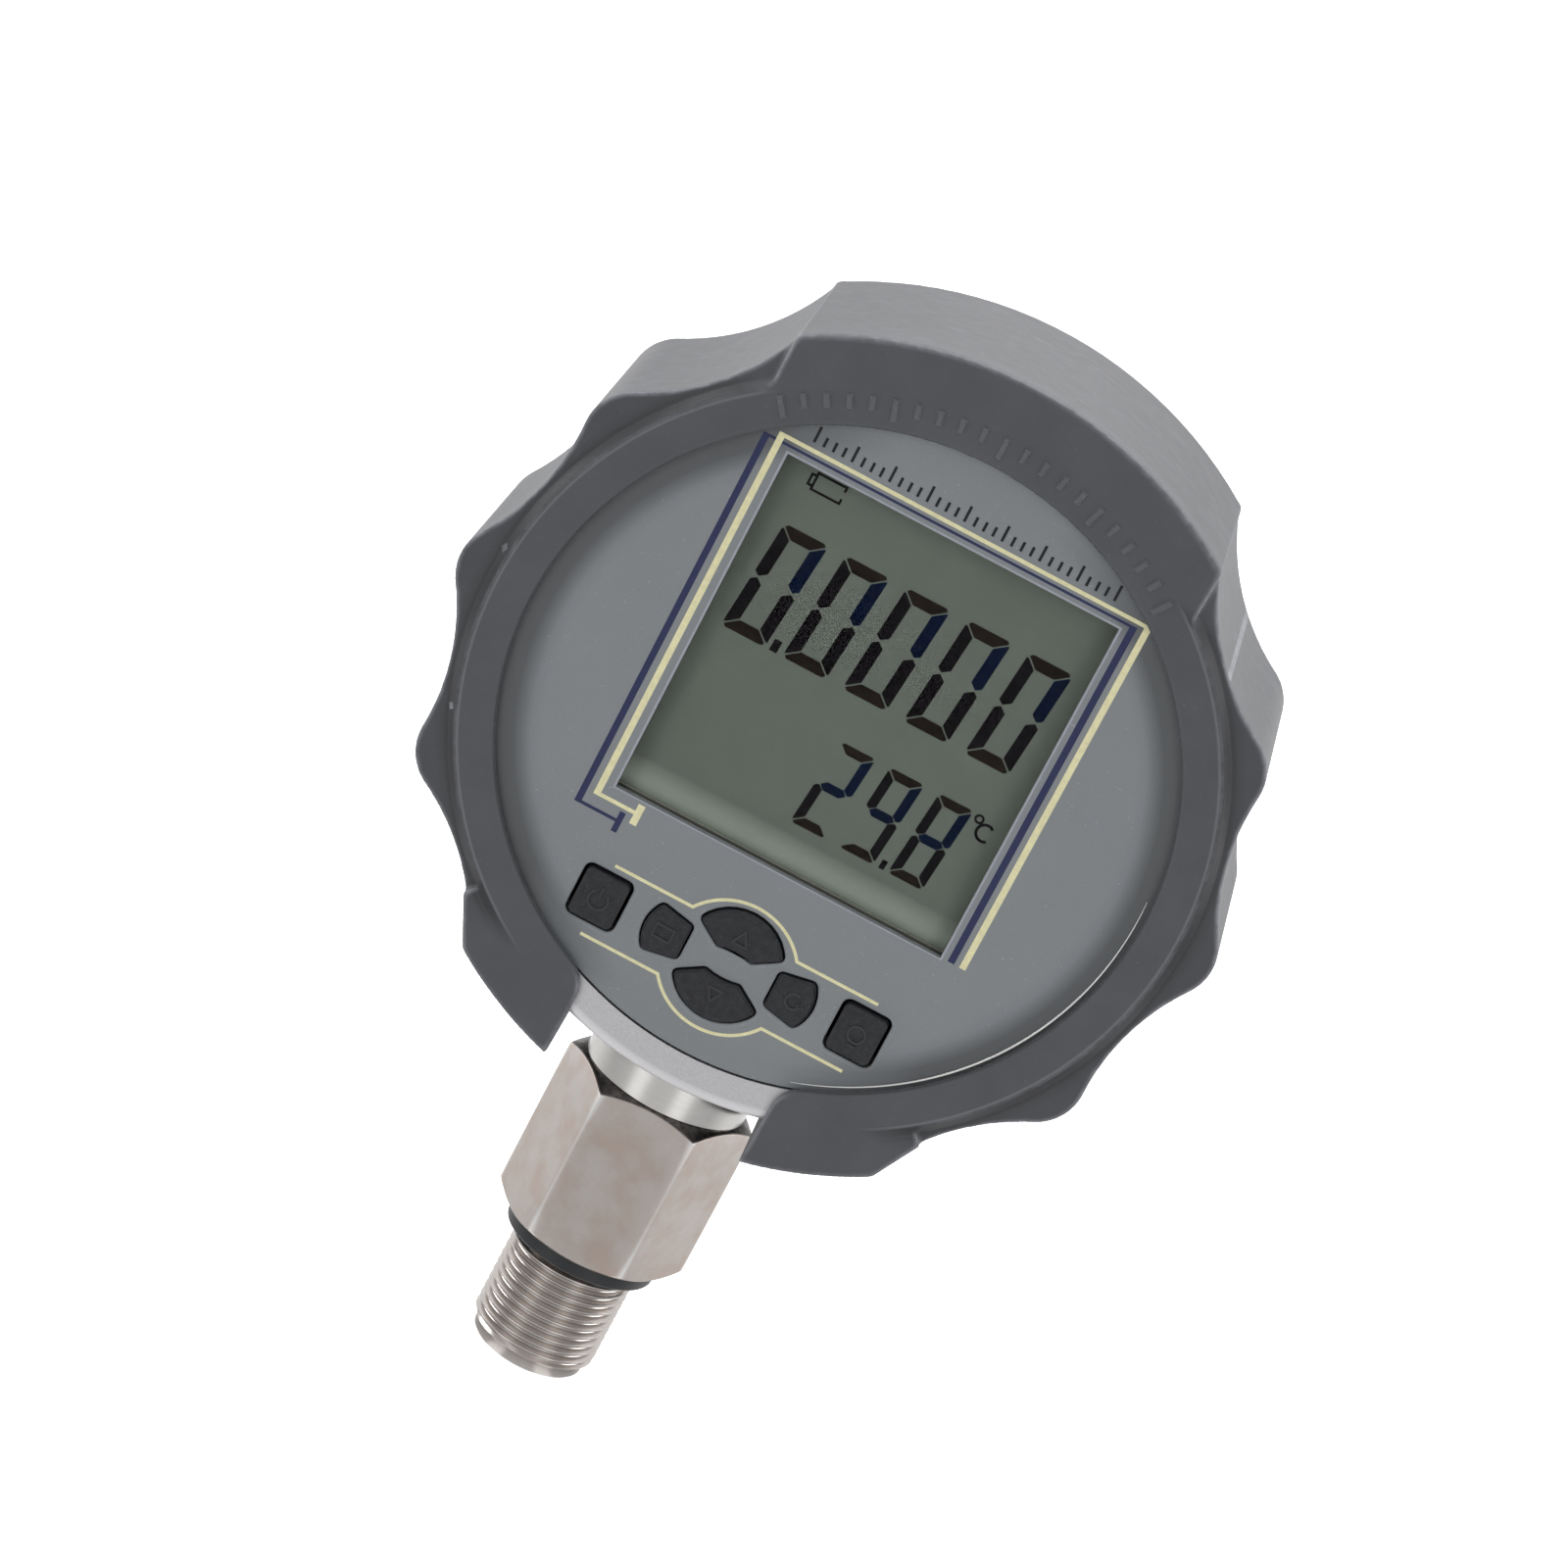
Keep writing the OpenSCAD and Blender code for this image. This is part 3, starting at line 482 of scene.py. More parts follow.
def boot_skin(f, skin, base, worn_and_highlit):
    """Painted shade on the slope outside the ring with the lobe faces darker, a painted highlight along the
    ring's outer edge, painted shade at the lip's inner edge, moulding streaks, chalky dust, and edges
    lightened as wear and as painted highlights.
    """
    front = f.ramp(f.along("Y", -19.4, -15.4), (0.0, 1), (0.62, 1), (0.82, 0))
    between_blocks = f.ramp(f.up_dial(-50, 50), (0.02, 0), (0.06, 1), (0.925, 1), (0.955, 0))
    front = f.times(front, between_blocks)
    # Painted shade: darkest on the slope just outside the ring, and the lobe faces darker further out.
    lobe_shade = f.ramp(f.reach(54.9, 59.9), (0.0, 0), (0.08, 0), (0.13, 0.9), (0.3, 0.9), (0.36, 0.6),
                   (0.42, 0.8), (0.56, 0.42), (0.8, 0.24), (1.0, 0.24))
    skin = f.mix(f.times(lobe_shade, front), skin, scaled(base, 0.3))
    # Painted highlight: a light line along the ring's outer edge.
    crease_highlight = f.ramp(f.reach(54.9, 55.9), (0.0, 0), (0.15, 0.5), (0.35, 0.5), (0.5, 0))
    skin = f.mix(f.times(crease_highlight, front), skin, scaled(base, 2.2))
    # Painted shade along the inner edge of the lip.
    lip = f.ramp(f.reach(48.6, 50.6), (0.0, 0.6), (0.6, 0.6), (0.72, 0))
    skin = f.mix(lip, skin, scaled(base, 0.35))
    walls = f.along("Y", -16.6, -14)
    streaks = f.ramp(f.noise(0.4, (11, 1, 11), 5, 0.65), (0.32, 0.85), (0.7, 0))
    skin = f.mix(f.times(streaks, walls), skin, scaled(base, 0.72))
    chalk = f.ramp(f.noise(1.6, (3, 1, 3), 8, 0.8), (0.56, 0), (0.68, 0.7))
    skin = f.mix(f.times(chalk, walls), skin, scaled(base, 1.9))
    # Edges lightened beyond the lip, as wear and as painted edge highlights.
    beyond_lip = f.ramp(f.reach(50.2, 51.4), (0.0, 0), (1.0, 1))
    edges = f.times(f.edges(worn_and_highlit, 0.512, 0.545, 0.35), beyond_lip)
    return f.mix(edges, skin, scaled(base, 3.2))


def plastic(name, base, rough=0.45, grain=0.25, relief=0.01):
    f = Finish(name, rough=rough)
    f.tint(base, 0.06, f.noise(7))
    f.roughen(f.noise(1.8), rough - 0.06, rough + 0.08)
    f.bump(f.noise(grain, detail=2), relief)
    return f.material


def metal(name, base, rough=0.3, lay=(1, 1, 1), grain=0.12):
    """Metal whose fine scratches are drawn out by lay."""
    f = Finish(name, metallic=1.0, rough=rough)
    scratches = f.noise(grain, lay, 4, 0.6)
    f.tint(base, 0.1, scratches)
    f.roughen(f.noise(grain * 3, lay), rough - 0.08, rough + 0.08)
    f.bump(scratches, 0.004)
    return f.material


def ink(name, base):
    f = Finish(name, rough=0.5, Specular_IOR_Level=0.3)
    f.tint(base, 0.07, f.noise(0.7))
    f.bump(f.noise(0.12, detail=2), 0.004)
    return f.material


def dress(node, material):
    """Gives a CAD node that stays in view its finish."""
    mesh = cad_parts[node].data
    if not mesh.materials:
        mesh.materials.append(material)
    for i in range(len(mesh.materials)):
        mesh.materials[i] = material


def need(*nodes):
    missing = [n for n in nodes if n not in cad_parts]
    if missing:
        raise RuntimeError("the packed model has no " + ", ".join(missing))


# Stage

# The camera as solved from the photograph: degrees, then metres from the plate's middle and across
AZIMUTH, ELEVATION, ROLL = 0.1168, 17.8895, 27.8456
DISTANCE, SHIFT_X, SHIFT_Y = 0.814162, -0.0074815, -0.003076
LAMP_AIM = Vector((0, 0, 0.08))
# Name, place, width, height, power in watts, and whether gloss mirrors it
LAMPS = (("lamp_top", (0.0, 0.25, 0.95), 0.9, 0.9, 10.0, True),
         ("lamp_side_right", (0.85, 0.2, 0.35), 0.6, 0.6, 3.5, True),
         ("lamp_side_left", (-0.85, 0.2, 0.35), 0.6, 0.6, 4.2, True),
         ("lamp_right", (0.45, -0.75, 0.35), 0.2, 0.6, 0.9, False),
         ("lamp_left", (-0.45, -0.75, 0.35), 0.2, 0.6, 0.9, False))
# What polished metal shows of the studio, by degrees from the front: a dim front with two
# bright panels, and a white back
STUDIO = ((0, 0.56), (17, 0.56), (23, 1.0), (37, 1.0), (44, 0.52), (78, 0.46), (108, 0.78),
          (138, 0.80), (165, 1.0))


def build_camera():
    """The camera stands where the photograph was taken from."""
    azimuth, elevation, roll = (radians(angle) for angle in (AZIMUTH, ELEVATION, ROLL))
    out = Vector((sin(azimuth) * cos(elevation),
                  -cos(azimuth) * cos(elevation), sin(elevation)))
    right = (-out).cross(Vector((0, 0, 1))).normalized()
    up = right.cross(-out).normalized()
    cam_x = right * cos(roll) + up * sin(roll)
    cam_y = up * cos(roll) - right * sin(roll)
    place = at_dial(0, PANEL_DEPTH, 0) + DISTANCE * out + SHIFT_X * cam_x + SHIFT_Y * cam_y
    data = bpy.data.cameras.new("camera")
    data.lens = sizes().lens
    data.sensor_width = 36
    data.clip_start = 0.01
    camera = new_object("camera", data)
    camera.matrix_world = Matrix((*zip(cam_x, cam_y, out, place), (0, 0, 0, 1)))
    bpy.context.scene.camera = camera


def build_lamp(name, place, wide, tall, power, mirrored):
    data = bpy.data.lights.new(name, "AREA")
    data.shape = "RECTANGLE"
    data.size, data.size_y = wide, tall
    data.energy = power
    lamp = new_object(name, data)
    turn = (LAMP_AIM - Vector(place)).to_track_quat("-Z", "Y").to_matrix().to_4x4()
    lamp.matrix_world = Matrix.Translation(place) @ turn
    lamp.visible_glossy = mirrored


def studio(tree, coordinates):
    """The studio's light by the angle from the front, whichever side it lies on."""
    place = add_node(tree, "SeparateXYZ", {0: add_node(tree, "TexCoord").outputs[coordinates]})
    side = add_node(tree, "Math", {0: place.outputs["X"]}, operation="ABSOLUTE")
    front = add_node(tree, "Math", {0: place.outputs["Y"], 1: -1}, operation="MULTIPLY")
    angle = add_node(tree, "Math", {0: side, 1: front}, operation="ARCTAN2")
    share = add_node(tree, "Math", {0: angle, 1: 1 / pi}, operation="MULTIPLY")
    return add_ramp(tree, share, *((a / 180, level) for a, level in STUDIO))


def seen_by(tree, *rays):
    """1 for the two kinds of rays named and 0 for the rest."""
    path = add_node(tree, "LightPath")
    return add_node(tree, "Math", {i: path.outputs["Is %s Ray" % ray] for i, ray in enumerate(rays)},
                    operation="MAXIMUM")


def mirrored_studio(tree, matt, mirrored):
    """One shader for matt surfaces and another that only gloss sees."""
    return blend_shaders(tree, add_node(tree, "LightPath").outputs["Is Glossy Ray"], matt, mirrored)


def build_world():
    """Soft light all round, which gloss sees as a dim front with bright panels and a white back."""
    world = bpy.data.worlds.new("studio")
    bpy.context.scene.world = world
    world.use_nodes = True
    tree = world.node_tree
    tree.nodes.clear()
    soft = add_node(tree, "Background", {"Color": (0.97, 0.98, 1.0), "Strength": 0.40})
    mirrored = add_node(tree, "Background", {"Color": studio(tree, "Generated")})
    gloss = mirrored_studio(tree, soft, mirrored)
    seen = blend_shaders(tree, seen_by(tree, "Camera", "Transmission"), gloss,
                         add_node(tree, "Background"))
    add_node(tree, "OutputWorld", {0: seen})


def build_floor():
    """A pale floor that the camera sees white, with the object's shadow on it."""
    mesh = bpy.data.meshes.new("floor")
    half, z = 3.0, STEM_FOOT - 0.1 * MM
    mesh.from_pydata([(-half, -half, z), (half, -half, z), (half, half, z), (-half, half, z)],
                     [], [(0, 1, 2, 3)])
    material = bpy.data.materials.new("floor_white")
    material.use_nodes = True
    tree = material.node_tree
    tree.nodes.clear()
    ground = add_node(tree, "BsdfDiffuse", {"Color": (0.8, 0.8, 0.8)})
    mirrored = add_node(tree, "Emission", {"Color": studio(tree, "Object")})
    gloss = mirrored_studio(tree, ground, mirrored)
    level = add_node(tree, "Math", {0: seen_by(tree, "Camera", "Transmission"), 1: 0.77},
                     operation="MULTIPLY")
    glow = add_node(tree, "Emission", {"Strength": level})
    add_node(tree, "OutputMaterial", {0: add_node(tree, "AddShader", {0: gloss, 1: glow})})
    mesh.materials.append(material)
    new_object("floor", mesh)


def build_stage():
    bpy.context.scene.view_settings.view_transform = "Standard"
    build_camera()
    build_world()
    build_floor()
    for lamp in LAMPS:
        build_lamp(*lamp)


# Boot

def build_boot():
    need("rubber_boot")
    base = chosen("boot")
    material = rubber("boot_rubber_finish", base, worn_and_highlit=0.8)
    mesh = with_modifiers(
        cad_copy("rubber_boot"), "boot_body", material,
        ("REMESH", {"mode": "VOXEL", "voxel_size": sizes().boot_grain, "adaptivity": 0.0}),
        ("SMOOTH", {"factor": 0.5, "iterations": sizes().boot_soften}))
    add_object("boot_body", mesh, "boot_rubber", sharp=180, replaced="rubber_boot")
    build_ribs(rubber("boot_rib_finish", scaled(base, 1.3)))


def build_ribs(material):
    """Plain raised ribs on the ring at the top of the boot, with sloping sides."""
    count, first, step, every = 21, -35, 3.5, 5
    long_inner, short_inner, outer, half = 51.2, 52.3, 54.5, 0.52
    rise, slope, sunk = 0.42, 0.22, 0.3
    ribs = []
    for i in range(count):
        inner = short_inner if i % every else long_inner
        out, across = Vector(polar(first + step * i)), Vector(polar(first + step * i + 90))
        rings = []
        for depth, inset in ((BOOT_FRONT + sunk, 0.0), (BOOT_FRONT, 0.0), (BOOT_FRONT - rise, slope)):
            spots = (out * along + across * side for along, side in (
                (inner + inset, inset - half), (outer - inset, inset - half),
                (outer - inset, half - inset), (inner + inset, half - inset)))
            rings.append([at_dial(spot.x, depth, spot.y) for spot in spots])
        ribs.append(loft(rings))
    add_mesh("boot_ribs", *joined(ribs), material, "boot_rubber", sharp=20)


# Case and front plate

def build_case():
    need("case", "front_panel", "panel_carrier")
    f = Finish("case_finish", metallic=1.0, rough=0.5)
    base = chosen("case")
    grains = f.ramp(f.noise(0.32, detail=4, rough=0.7), (0.35, scaled(base, 0.86)), (0.65, base))
    # Painted reflection of the lit floor on the rim's rounded outer edge.
    painted_edge_reflection = f.ramp(f.reach(54.1, 54.9), (0.0, 0), (0.25, 0.5), (1.0, 1))
    f.paint(f.mix(painted_edge_reflection, grains, scaled(base, 1.22)))
    f.roughen(f.noise(2.2), 0.44, 0.58)
    f.bump(f.noise(0.18, detail=2), 0.012)
    dress("case", f.material)

    f = Finish("panel_finish", rough=0.42, Specular_IOR_Level=0.45)
    base = chosen("panel")
    clouds = f.ramp(f.noise(14), *shades(base, 0.97, 1.03))
    grains = f.ramp(f.noise(0.24, detail=2, rough=0.6), (0.3, 0), (0.7, 1))
    specks = f.ramp(f.noise(0.55, detail=1), (0.74, 0), (0.78, 1))
    skin = f.mix(specks, f.mix(grains, clouds, scaled(base, 1.07)), scaled(base, 1.35))
    # Painted shadow of the boot's lip on the plate, round its edge at the left and right.
    sides = f.ramp(f.along("X", -32, 32), (0.0, 1), (0.3, 0.05), (0.7, 0.05), (1.0, 1))
    rim = f.ramp(f.reach(43.0, 48.4), (0.0, 0), (0.3, 0.16), (0.6, 0.72), (0.78, 1))
    f.paint(f.mix(f.times(sides, rim), skin, scaled(base, 0.44)))
    f.roughen(f.noise(3), 0.38, 0.5)
    f.bump(f.noise(0.2, detail=2), 0.008)
    dress("front_panel", f.material)
    build_collars(f.material)
    dress("panel_carrier", plastic("carrier_finish", linear(158, 157, 150), 0.5))
    build_glint_bead()


def key_front(node):
    """The outline of a key's front face in the dial plane, anticlockwise, in even steps."""
    step, flatness = 0.3, 0.05 * MM
    mesh = cad_copy(node)
    front = min(v.co.y for v in mesh.vertices)
    spots = [Vector((v.co.x, v.co.z - CENTRE_Z)) / MM for v in mesh.vertices
             if v.co.y < front + flatness]
    bpy.data.meshes.remove(mesh)
    middle = sum(spots, Vector((0, 0))) / len(spots)
    spots.sort(key=lambda p: atan2(p.y - middle.y, p.x - middle.x))
    path = []
    for here, after in zip(spots, spots[1:] + spots[:1]):
        parts = max(1, int((after - here).length / step))
        path += [here.lerp(after, k / parts) for k in range(parts)]
    return path


def build_collars(material):
    """The plate's soft swelling round each key's opening."""
    # how far outside the key's outline, and how far above the plate
    profile = ((0.43, -0.3), (0.43, 0.0), (0.5, 0.07), (0.66, 0.11), (0.88, 0.07), (1.15, 0.0), (1.15, -0.3))
    collars = []
    for node in KEY_BODIES:
        path = key_front(node)
        count = len(path)
        across = []
        for k in range(count):
            run = path[(k + 1) % count] - path[k - 1]
            across.append(Vector((run.y, -run.x)).normalized())
        for _ in range(4):
            across = [(across[i - 1] + across[i] + across[(i + 1) % count]).normalized()
                      for i in range(count)]
        collars.append(loft([[at_dial(p.x + a.x * out, PANEL_DEPTH - rise, p.y + a.y * out)
                              for p, a in zip(path, across)] for out, rise in profile], closed=True))
    add_mesh("key_collars", *joined(collars), material, "panel_print", sharp=60)


def build_glint_bead():
    """A bright polished bead between the plate and the boot's lip over part of its round, standing in for a
    glint along the lip's inner edge.
    """
    start, sweep, steps, around = 86, 75, 60, 10
    radius, drawn_in, thin, swelling, sunk = 49.15, 0.25, 0.05, 0.2, 0.16
    rings = []
    for t in (i / steps for i in range(steps + 1)):
        thick = thin + swelling * sin(pi * t) ** 0.6
        middle = radius - drawn_in * max(0.0, 1 - 2 * t)
        ring = []
        for turn in (2 * pi * k / around for k in range(around)):
            x, z = polar(start + sweep * t, middle + thick * cos(turn))
            ring.append(at_dial(x, PANEL_DEPTH - sunk + thick * sin(turn), z))
        rings.append(ring)
    add_mesh("plate_edge", *loft(rings), metal("plate_edge_finish", linear(252, 252, 248), 0.35),
             "panel_print", sharp=60)


# Left, right, low and high of the printed bars, then half the width, foot and head of the opening's pale
# line, a painted highlight on its cut edge, and the height and reach of the bows round the keys
BLUE_BARS = ((-31.0, -30.0, -23.6, 38.5), (-30.0, 27.7, 38.1, 38.5), (27.7, 28.75, -18.7, 38.5),
             (-30.0, -24.3, -23.6, -23.1), (-24.3, -23.4, -25.1, -21.8))
CREAM_BARS = ((-29.0, -28.0, -21.3, 39.6), (-28.0, 29.6, 39.0, 39.6), (29.6, 30.6, -18.75, 39.6),
              (-28.0, -22.4, -21.3, -20.7), (-22.4, -21.3, -22.8, -19.5))
OPENING_SIDE, OPENING_FOOT, OPENING_HEAD = 26.72, -18.9, 37.35
KEYS_MIDDLE, BOW_RADIUS = -35.45, 10.35


def build_print():
    """The lines printed on the plate, the pale line round the display opening as a painted highlight on its
    cut edge, and plain ticks where the heading stands.
    """
    front, back = PANEL_DEPTH - in_mm("print_proud"), PANEL_DEPTH + 0.02
    blue, cream, edge, dark = Prisms(front + 0.01, back), *(Prisms(front, back) for _ in range(3))
    for prisms, bars in ((blue, BLUE_BARS), (cream, CREAM_BARS)):
        for bar in bars:
            prisms.bar(*bar)
    for line, side in ((-29.6, 1), (-41.3, -1)):
        half = degrees(acos(abs(line - KEYS_MIDDLE) / BOW_RADIUS))
        bow = arc(0, KEYS_MIDDLE, BOW_RADIUS, side * (90 + half), side * (90 - half), 32)
        cream.stroke([(-21.3, line)] + bow + [(21.9, line)], 0.5)
    width = 0.34
    # Painted highlight: the pale line along the cut edge of the display opening.
    edge.stroke([(-OPENING_SIDE, OPENING_FOOT), (-OPENING_SIDE, OPENING_HEAD),
                 (OPENING_SIDE, OPENING_HEAD), (OPENING_SIDE, OPENING_FOOT)], width)
    edge.bar(-OPENING_SIDE - width / 2, OPENING_SIDE + width / 2, OPENING_FOOT - 0.18, OPENING_FOOT)
    for i in range(33):
        x, foot, tall = -24 + i * 1.5, 40.45, 1.5 if i % 4 else 2.5
        dark.stroke([(x, foot), (x, foot + tall)], 0.42)
    for prisms, name, tone in ((blue, "print_blue", "blue"), (cream, "print_cream", "cream"),
                               (edge, "print_edge", "white"), (dark, "print_ticks", "dark")):
        prisms.piece(name, ink("ink_" + tone, chosen("print_" + tone)), "panel_print")


# Display

DIGIT_LEAN = 0.084
LARGE_LEFT, LARGE_FOOT = (-23.96, -14.04, -4.23, 5.69, 15.58), 9.1
# The right ends of the small digits' feet and their lit segments
SMALL_DIGITS, SMALL_FOOT = ((4.9, "abged"), (12.85, "abcdfg"), (20.85, "abcdefg")), -12.3
POINTS = ((-16.15, -14.95, LARGE_FOOT, 11.0), (12.5, 13.35, SMALL_FOOT, -10.85))
CELL_BODY = ((-16.9, 35.0), (-16.9, 35.75), (-21.45, 35.75), (-21.45, 33.15), (-16.9, 33.15),
             (-16.9, 33.9))
CELL_TIP = ((-21.5, 35.25), (-22.2, 35.25), (-22.2, 33.65), (-21.5, 33.65))


def segments(left, low, tall, wide, t, lit):
    """The lit segments of one digit, named a to g clockwise from the top and g in the middle."""
    mid, g = tall / 2, 0.125
    top = [(t * 0.28 + g, tall), (wide - t * 0.28 - g, tall), (wide - g - t * 0.08, tall - t * 0.22),
           (wide - t - g, tall - t), (t + g, tall - t), (g + t * 0.08, tall - t * 0.22)]
    side = [(0, tall - t * 0.32 - g), (t * 0.18, tall - t * 0.34 - g), (t, tall - t - 1.4 * g),
            (t, mid + t * 0.5), (t * 0.42, mid + g), (0, mid + t * 0.36)]
    shapes = {
        "a": top, "d": [(x, tall - z) for x, z in top],
        "f": side, "e": [(x, tall - z) for x, z in side],
        "b": [(wide - x, z) for x, z in side], "c": [(wide - x, tall - z) for x, z in side],
        "g": [(t * 0.45 + g, mid), (t + g * 0.4, mid + t / 2), (wide - t - g * 0.4, mid + t / 2),
              (wide - t * 0.45 - g, mid), (wide - t - g * 0.4, mid - t / 2), (t + g * 0.4, mid - t / 2)],
    }
    return [(name, [(left + x + DIGIT_LEAN * z, low + z) for x, z in shapes[name]]) for name in lit]


def build_segments():
    """The digits and signs of the display, some segments dark blue and some dark brown."""
    shapes = Prisms(GLASS_DEPTH - in_mm("segment_proud"), GLASS_DEPTH + 0.02)
    large = [in_mm("digit_" + size) for size in ("height", "width", "stroke")]
    small = [in_mm("small_" + size) for size in ("height", "width", "stroke")]
    digits = [(left, LARGE_FOOT, *large, "abcdef", "b") for left in LARGE_LEFT]
    digits += [(right - small[1] - DIGIT_LEAN * small[0], SMALL_FOOT, *small, lit, "bg")
               for right, lit in SMALL_DIGITS]
    for *form, lit, blue in digits:
        for name, outline in segments(*form, lit):
            shapes.polygon(outline, 1 if name in blue else 2 if name in "ad" else 0)
    for x0, x1, z0, z1 in POINTS:
        shapes.polygon([(x0, z0), (x1, z0), (x1 + 0.1, z1), (x0 + 0.1, z1)])
    shapes.stroke(arc(22.1, 1.35, 0.58, 0, 345, 23), 0.36, closed=True)
    shapes.stroke([(24.55, 0.75)] + arc(23.75, -0.2, 1.3, 55, 305, 20)[1:], 0.44)
    for outline in (CELL_BODY, CELL_TIP):
        shapes.stroke(outline, 0.36)
    inks = []
    for name, base in (("segment_dark", "segment"), ("segment_blue",) * 2, ("segment_brown",) * 2):
        f = Finish(name, rough=0.4, Specular_IOR_Level=0.05)
        f.tint(chosen(base), 0.25, f.noise(2.2))
        inks.append(f.material)
    shapes.piece("display_segments", inks, "lcd_glass")


def build_display():
    need("lcd_glass", "display_window", "window_foam", "backlight", "lcd_frame", "contact_strips")
    f = Finish("display_ground", rough=0.4, Specular_IOR_Level=0.05)
    ground = chosen("display")
    # Painted reflection: a lighter band across the lower part of the display, kept weaker at its very foot
    # where the opening shades it.
    glow = f.ramp(f.up_dial(-19.2, -10.5), (0.0, 0.4), (0.08, 0.8), (0.17, 1.0), (0.3, 0.8),
                  (0.45, 0.38), (0.54, 0.2), (0.6, 0.0))
    f.paint(f.mix(glow, f.ramp(f.noise(12), *shades(ground, 0.97, 1.03)), scaled(ground, 2.35)))
    f.roughen(f.noise(4), 0.28, 0.36)
    dress("lcd_glass", f.material)
    build_segments()

    f = Finish("window_finish", rough=0.0, IOR=1.1, Transmission_Weight=1.0)
    f.bump(f.noise(18), 0.002)
    clear = f.add("BsdfTransparent", {"Color": (0.97, 0.98, 0.97)})
    pane = blend_shaders(f.tree, f.add("LightPath").outputs["Is Shadow Ray"], f.shader, clear)
    f.tree.links.new(pane.outputs[0], f.tree.nodes["Material Output"].inputs["Surface"])
    dress("display_window", f.material)

    dress("window_foam", rubber("foam_finish", linear(84, 84, 80), rough=(0.8, 0.95)))
    dress("backlight", plastic("light_guide_finish", linear(225, 228, 222), 0.25))
    dress("lcd_frame", plastic("frame_finish", linear(205, 203, 192)))
    dress("contact_strips", rubber("strip_finish", linear(60, 60, 66)))


# Keys

# The signs raised on the keys, each line with whether it is closed
KEY_MARKS = {
    "key_power": [(arc(-21.2, -35.2, 1.5, 130, 410, 28), False), ([(-21.2, -34.9), (-21.2, -33.1)], False)],
    "key_light": [(arc(21.2, -35.0, 1.3, 0, 337, 15), True), ([(20.5, -36.9), (21.9, -36.9)], False)],
    "key_up": [([(-1.15, -31.2), (1.15, -31.2), (0, -29.1)], True)],
    "key_down": [([(-1.15, -38.9), (1.15, -38.9), (0, -41.0)], True)],
    "key_menu": [([(-12.0, -36.0), (-9.2, -36.0), (-9.2, -34.0), (-12.0, -34.0)], True)],
    "key_zero": [(arc(10.8, -35.0, 1.2, 60, 360, 20), False),
                 ([(11.4, -35.4), (12.05, -34.9), (12.6, -35.5)], False)],
}


def key_outline(node):
    """A key with its head drawn in a little, and the corners of a square head rounded."""
    mesh = cad_copy(node)
    head_depth, shrink, corner = 0.6 * MM, 0.97, sizes().key_corner
    front = min(v.co.y for v in mesh.vertices)
    head = [v for v in mesh.vertices if v.co.y < front + head_depth]
    middle = sum((v.co for v in head), Vector()) / len(head)
    wide = max(abs(v.co.x - middle.x) for v in head)
    tall = max(abs(v.co.z - middle.z) for v in head)
    for v in head:
        out = v.co - middle
        over = Vector((abs(out.x) - wide + corner, abs(out.z) - tall + corner))
        if node in ("key_power", "key_light") and min(over) > 0 and over.length > corner:
            over *= corner / over.length
            out.x = copysign(wide - corner + over.x, out.x)
            out.z = copysign(tall - corner + over.y, out.z)
        v.co.x, v.co.z = middle.x + out.x * shrink, middle.z + out.z * shrink
    return mesh


def build_keys():
    need(*KEY_BODIES)
    f = Finish("key_finish", rough=0.5, Specular_IOR_Level=0.45)
    base = chosen("keys")
    specks = f.ramp(f.noise(0.35, detail=2, rough=0.7), (0.62, 0), (0.70, 1))
    clouds = f.ramp(f.noise(1.1, detail=4), *shades(base, 0.66, 1.38))
    f.paint(f.mix(specks, clouds, scaled(base, 2.6)))
    f.roughen(f.noise(1.2), 0.42, 0.56)
    f.bump(f.noise(0.32, detail=3), 0.06)
    for node, body in KEY_BODIES.items():
        mesh = with_modifiers(key_outline(node), node + "_head", f.material, ("BEVEL", {
            "width": sizes().key_edge, "segments": 3, "limit_method": "ANGLE",
            "angle_limit": radians(25), "use_clamp_overlap": True}))
        add_object(node + "_head", mesh, "key_rubber", body, 40, node)
        pill = node.replace("key", "pill")
        dress(pill, rubber(pill + "_finish", linear(24, 24, 26)))
    dress("keypad_mat", rubber("mat_finish", linear(70, 72, 76)))
    pale = rubber("key_mark_finish", scaled(base, 1.5), rough=(0.4, 0.55))
    for node, lines in KEY_MARKS.items():
        marks = Prisms(KEY_DEPTH - 0.2, KEY_DEPTH + 0.1)
        for path, closed in lines:
            marks.stroke(path, 0.34, closed)
        marks.piece(node + "_mark", pale, "key_rubber", body=KEY_BODIES[node])


# Stem

# One turn of the thread: the place along the pitch and the share of the depth cut there
THREAD = [(0.0, 1.0), (0.10, 1.0), (0.17, 0.93), (0.42, 0.10), (0.47, 0.0), (0.62, 0.0),
          (0.67, 0.10), (0.92, 0.93)]
# Radii and heights of the connection in mm, from the sealing face under the hexagon
PORT, PILOT, SHANK, THREAD_OUTER, END_FACE = 2.5, 8.95, 9.02, 10.0, 12.8
THREAD_TOP, SENSOR_FLOOR, POCKET_FLOOR, HEXAGON_TOP, HEXAGON_CORNER = -3.0, 4.2, 5.0, 27.6, 0.55


def hex_radius(angle, flat):
    """Distance from the axis to the side of a hexagon with rounded corners, at 30, 90, ... degrees."""
    a, half = radians((angle % 60) - 30), radians(30)
    # the corner's arc touches both flats: its centre lies on the corner's line
    centre = (flat - HEXAGON_CORNER) / cos(half)
    if abs(a) <= atan2(centre * sin(half), flat):
        return flat / cos(a)
    reach = half - abs(a)
    rest = HEXAGON_CORNER ** 2 - (centre * sin(reach)) ** 2
    return centre * cos(reach) + sqrt(max(0.0, rest))


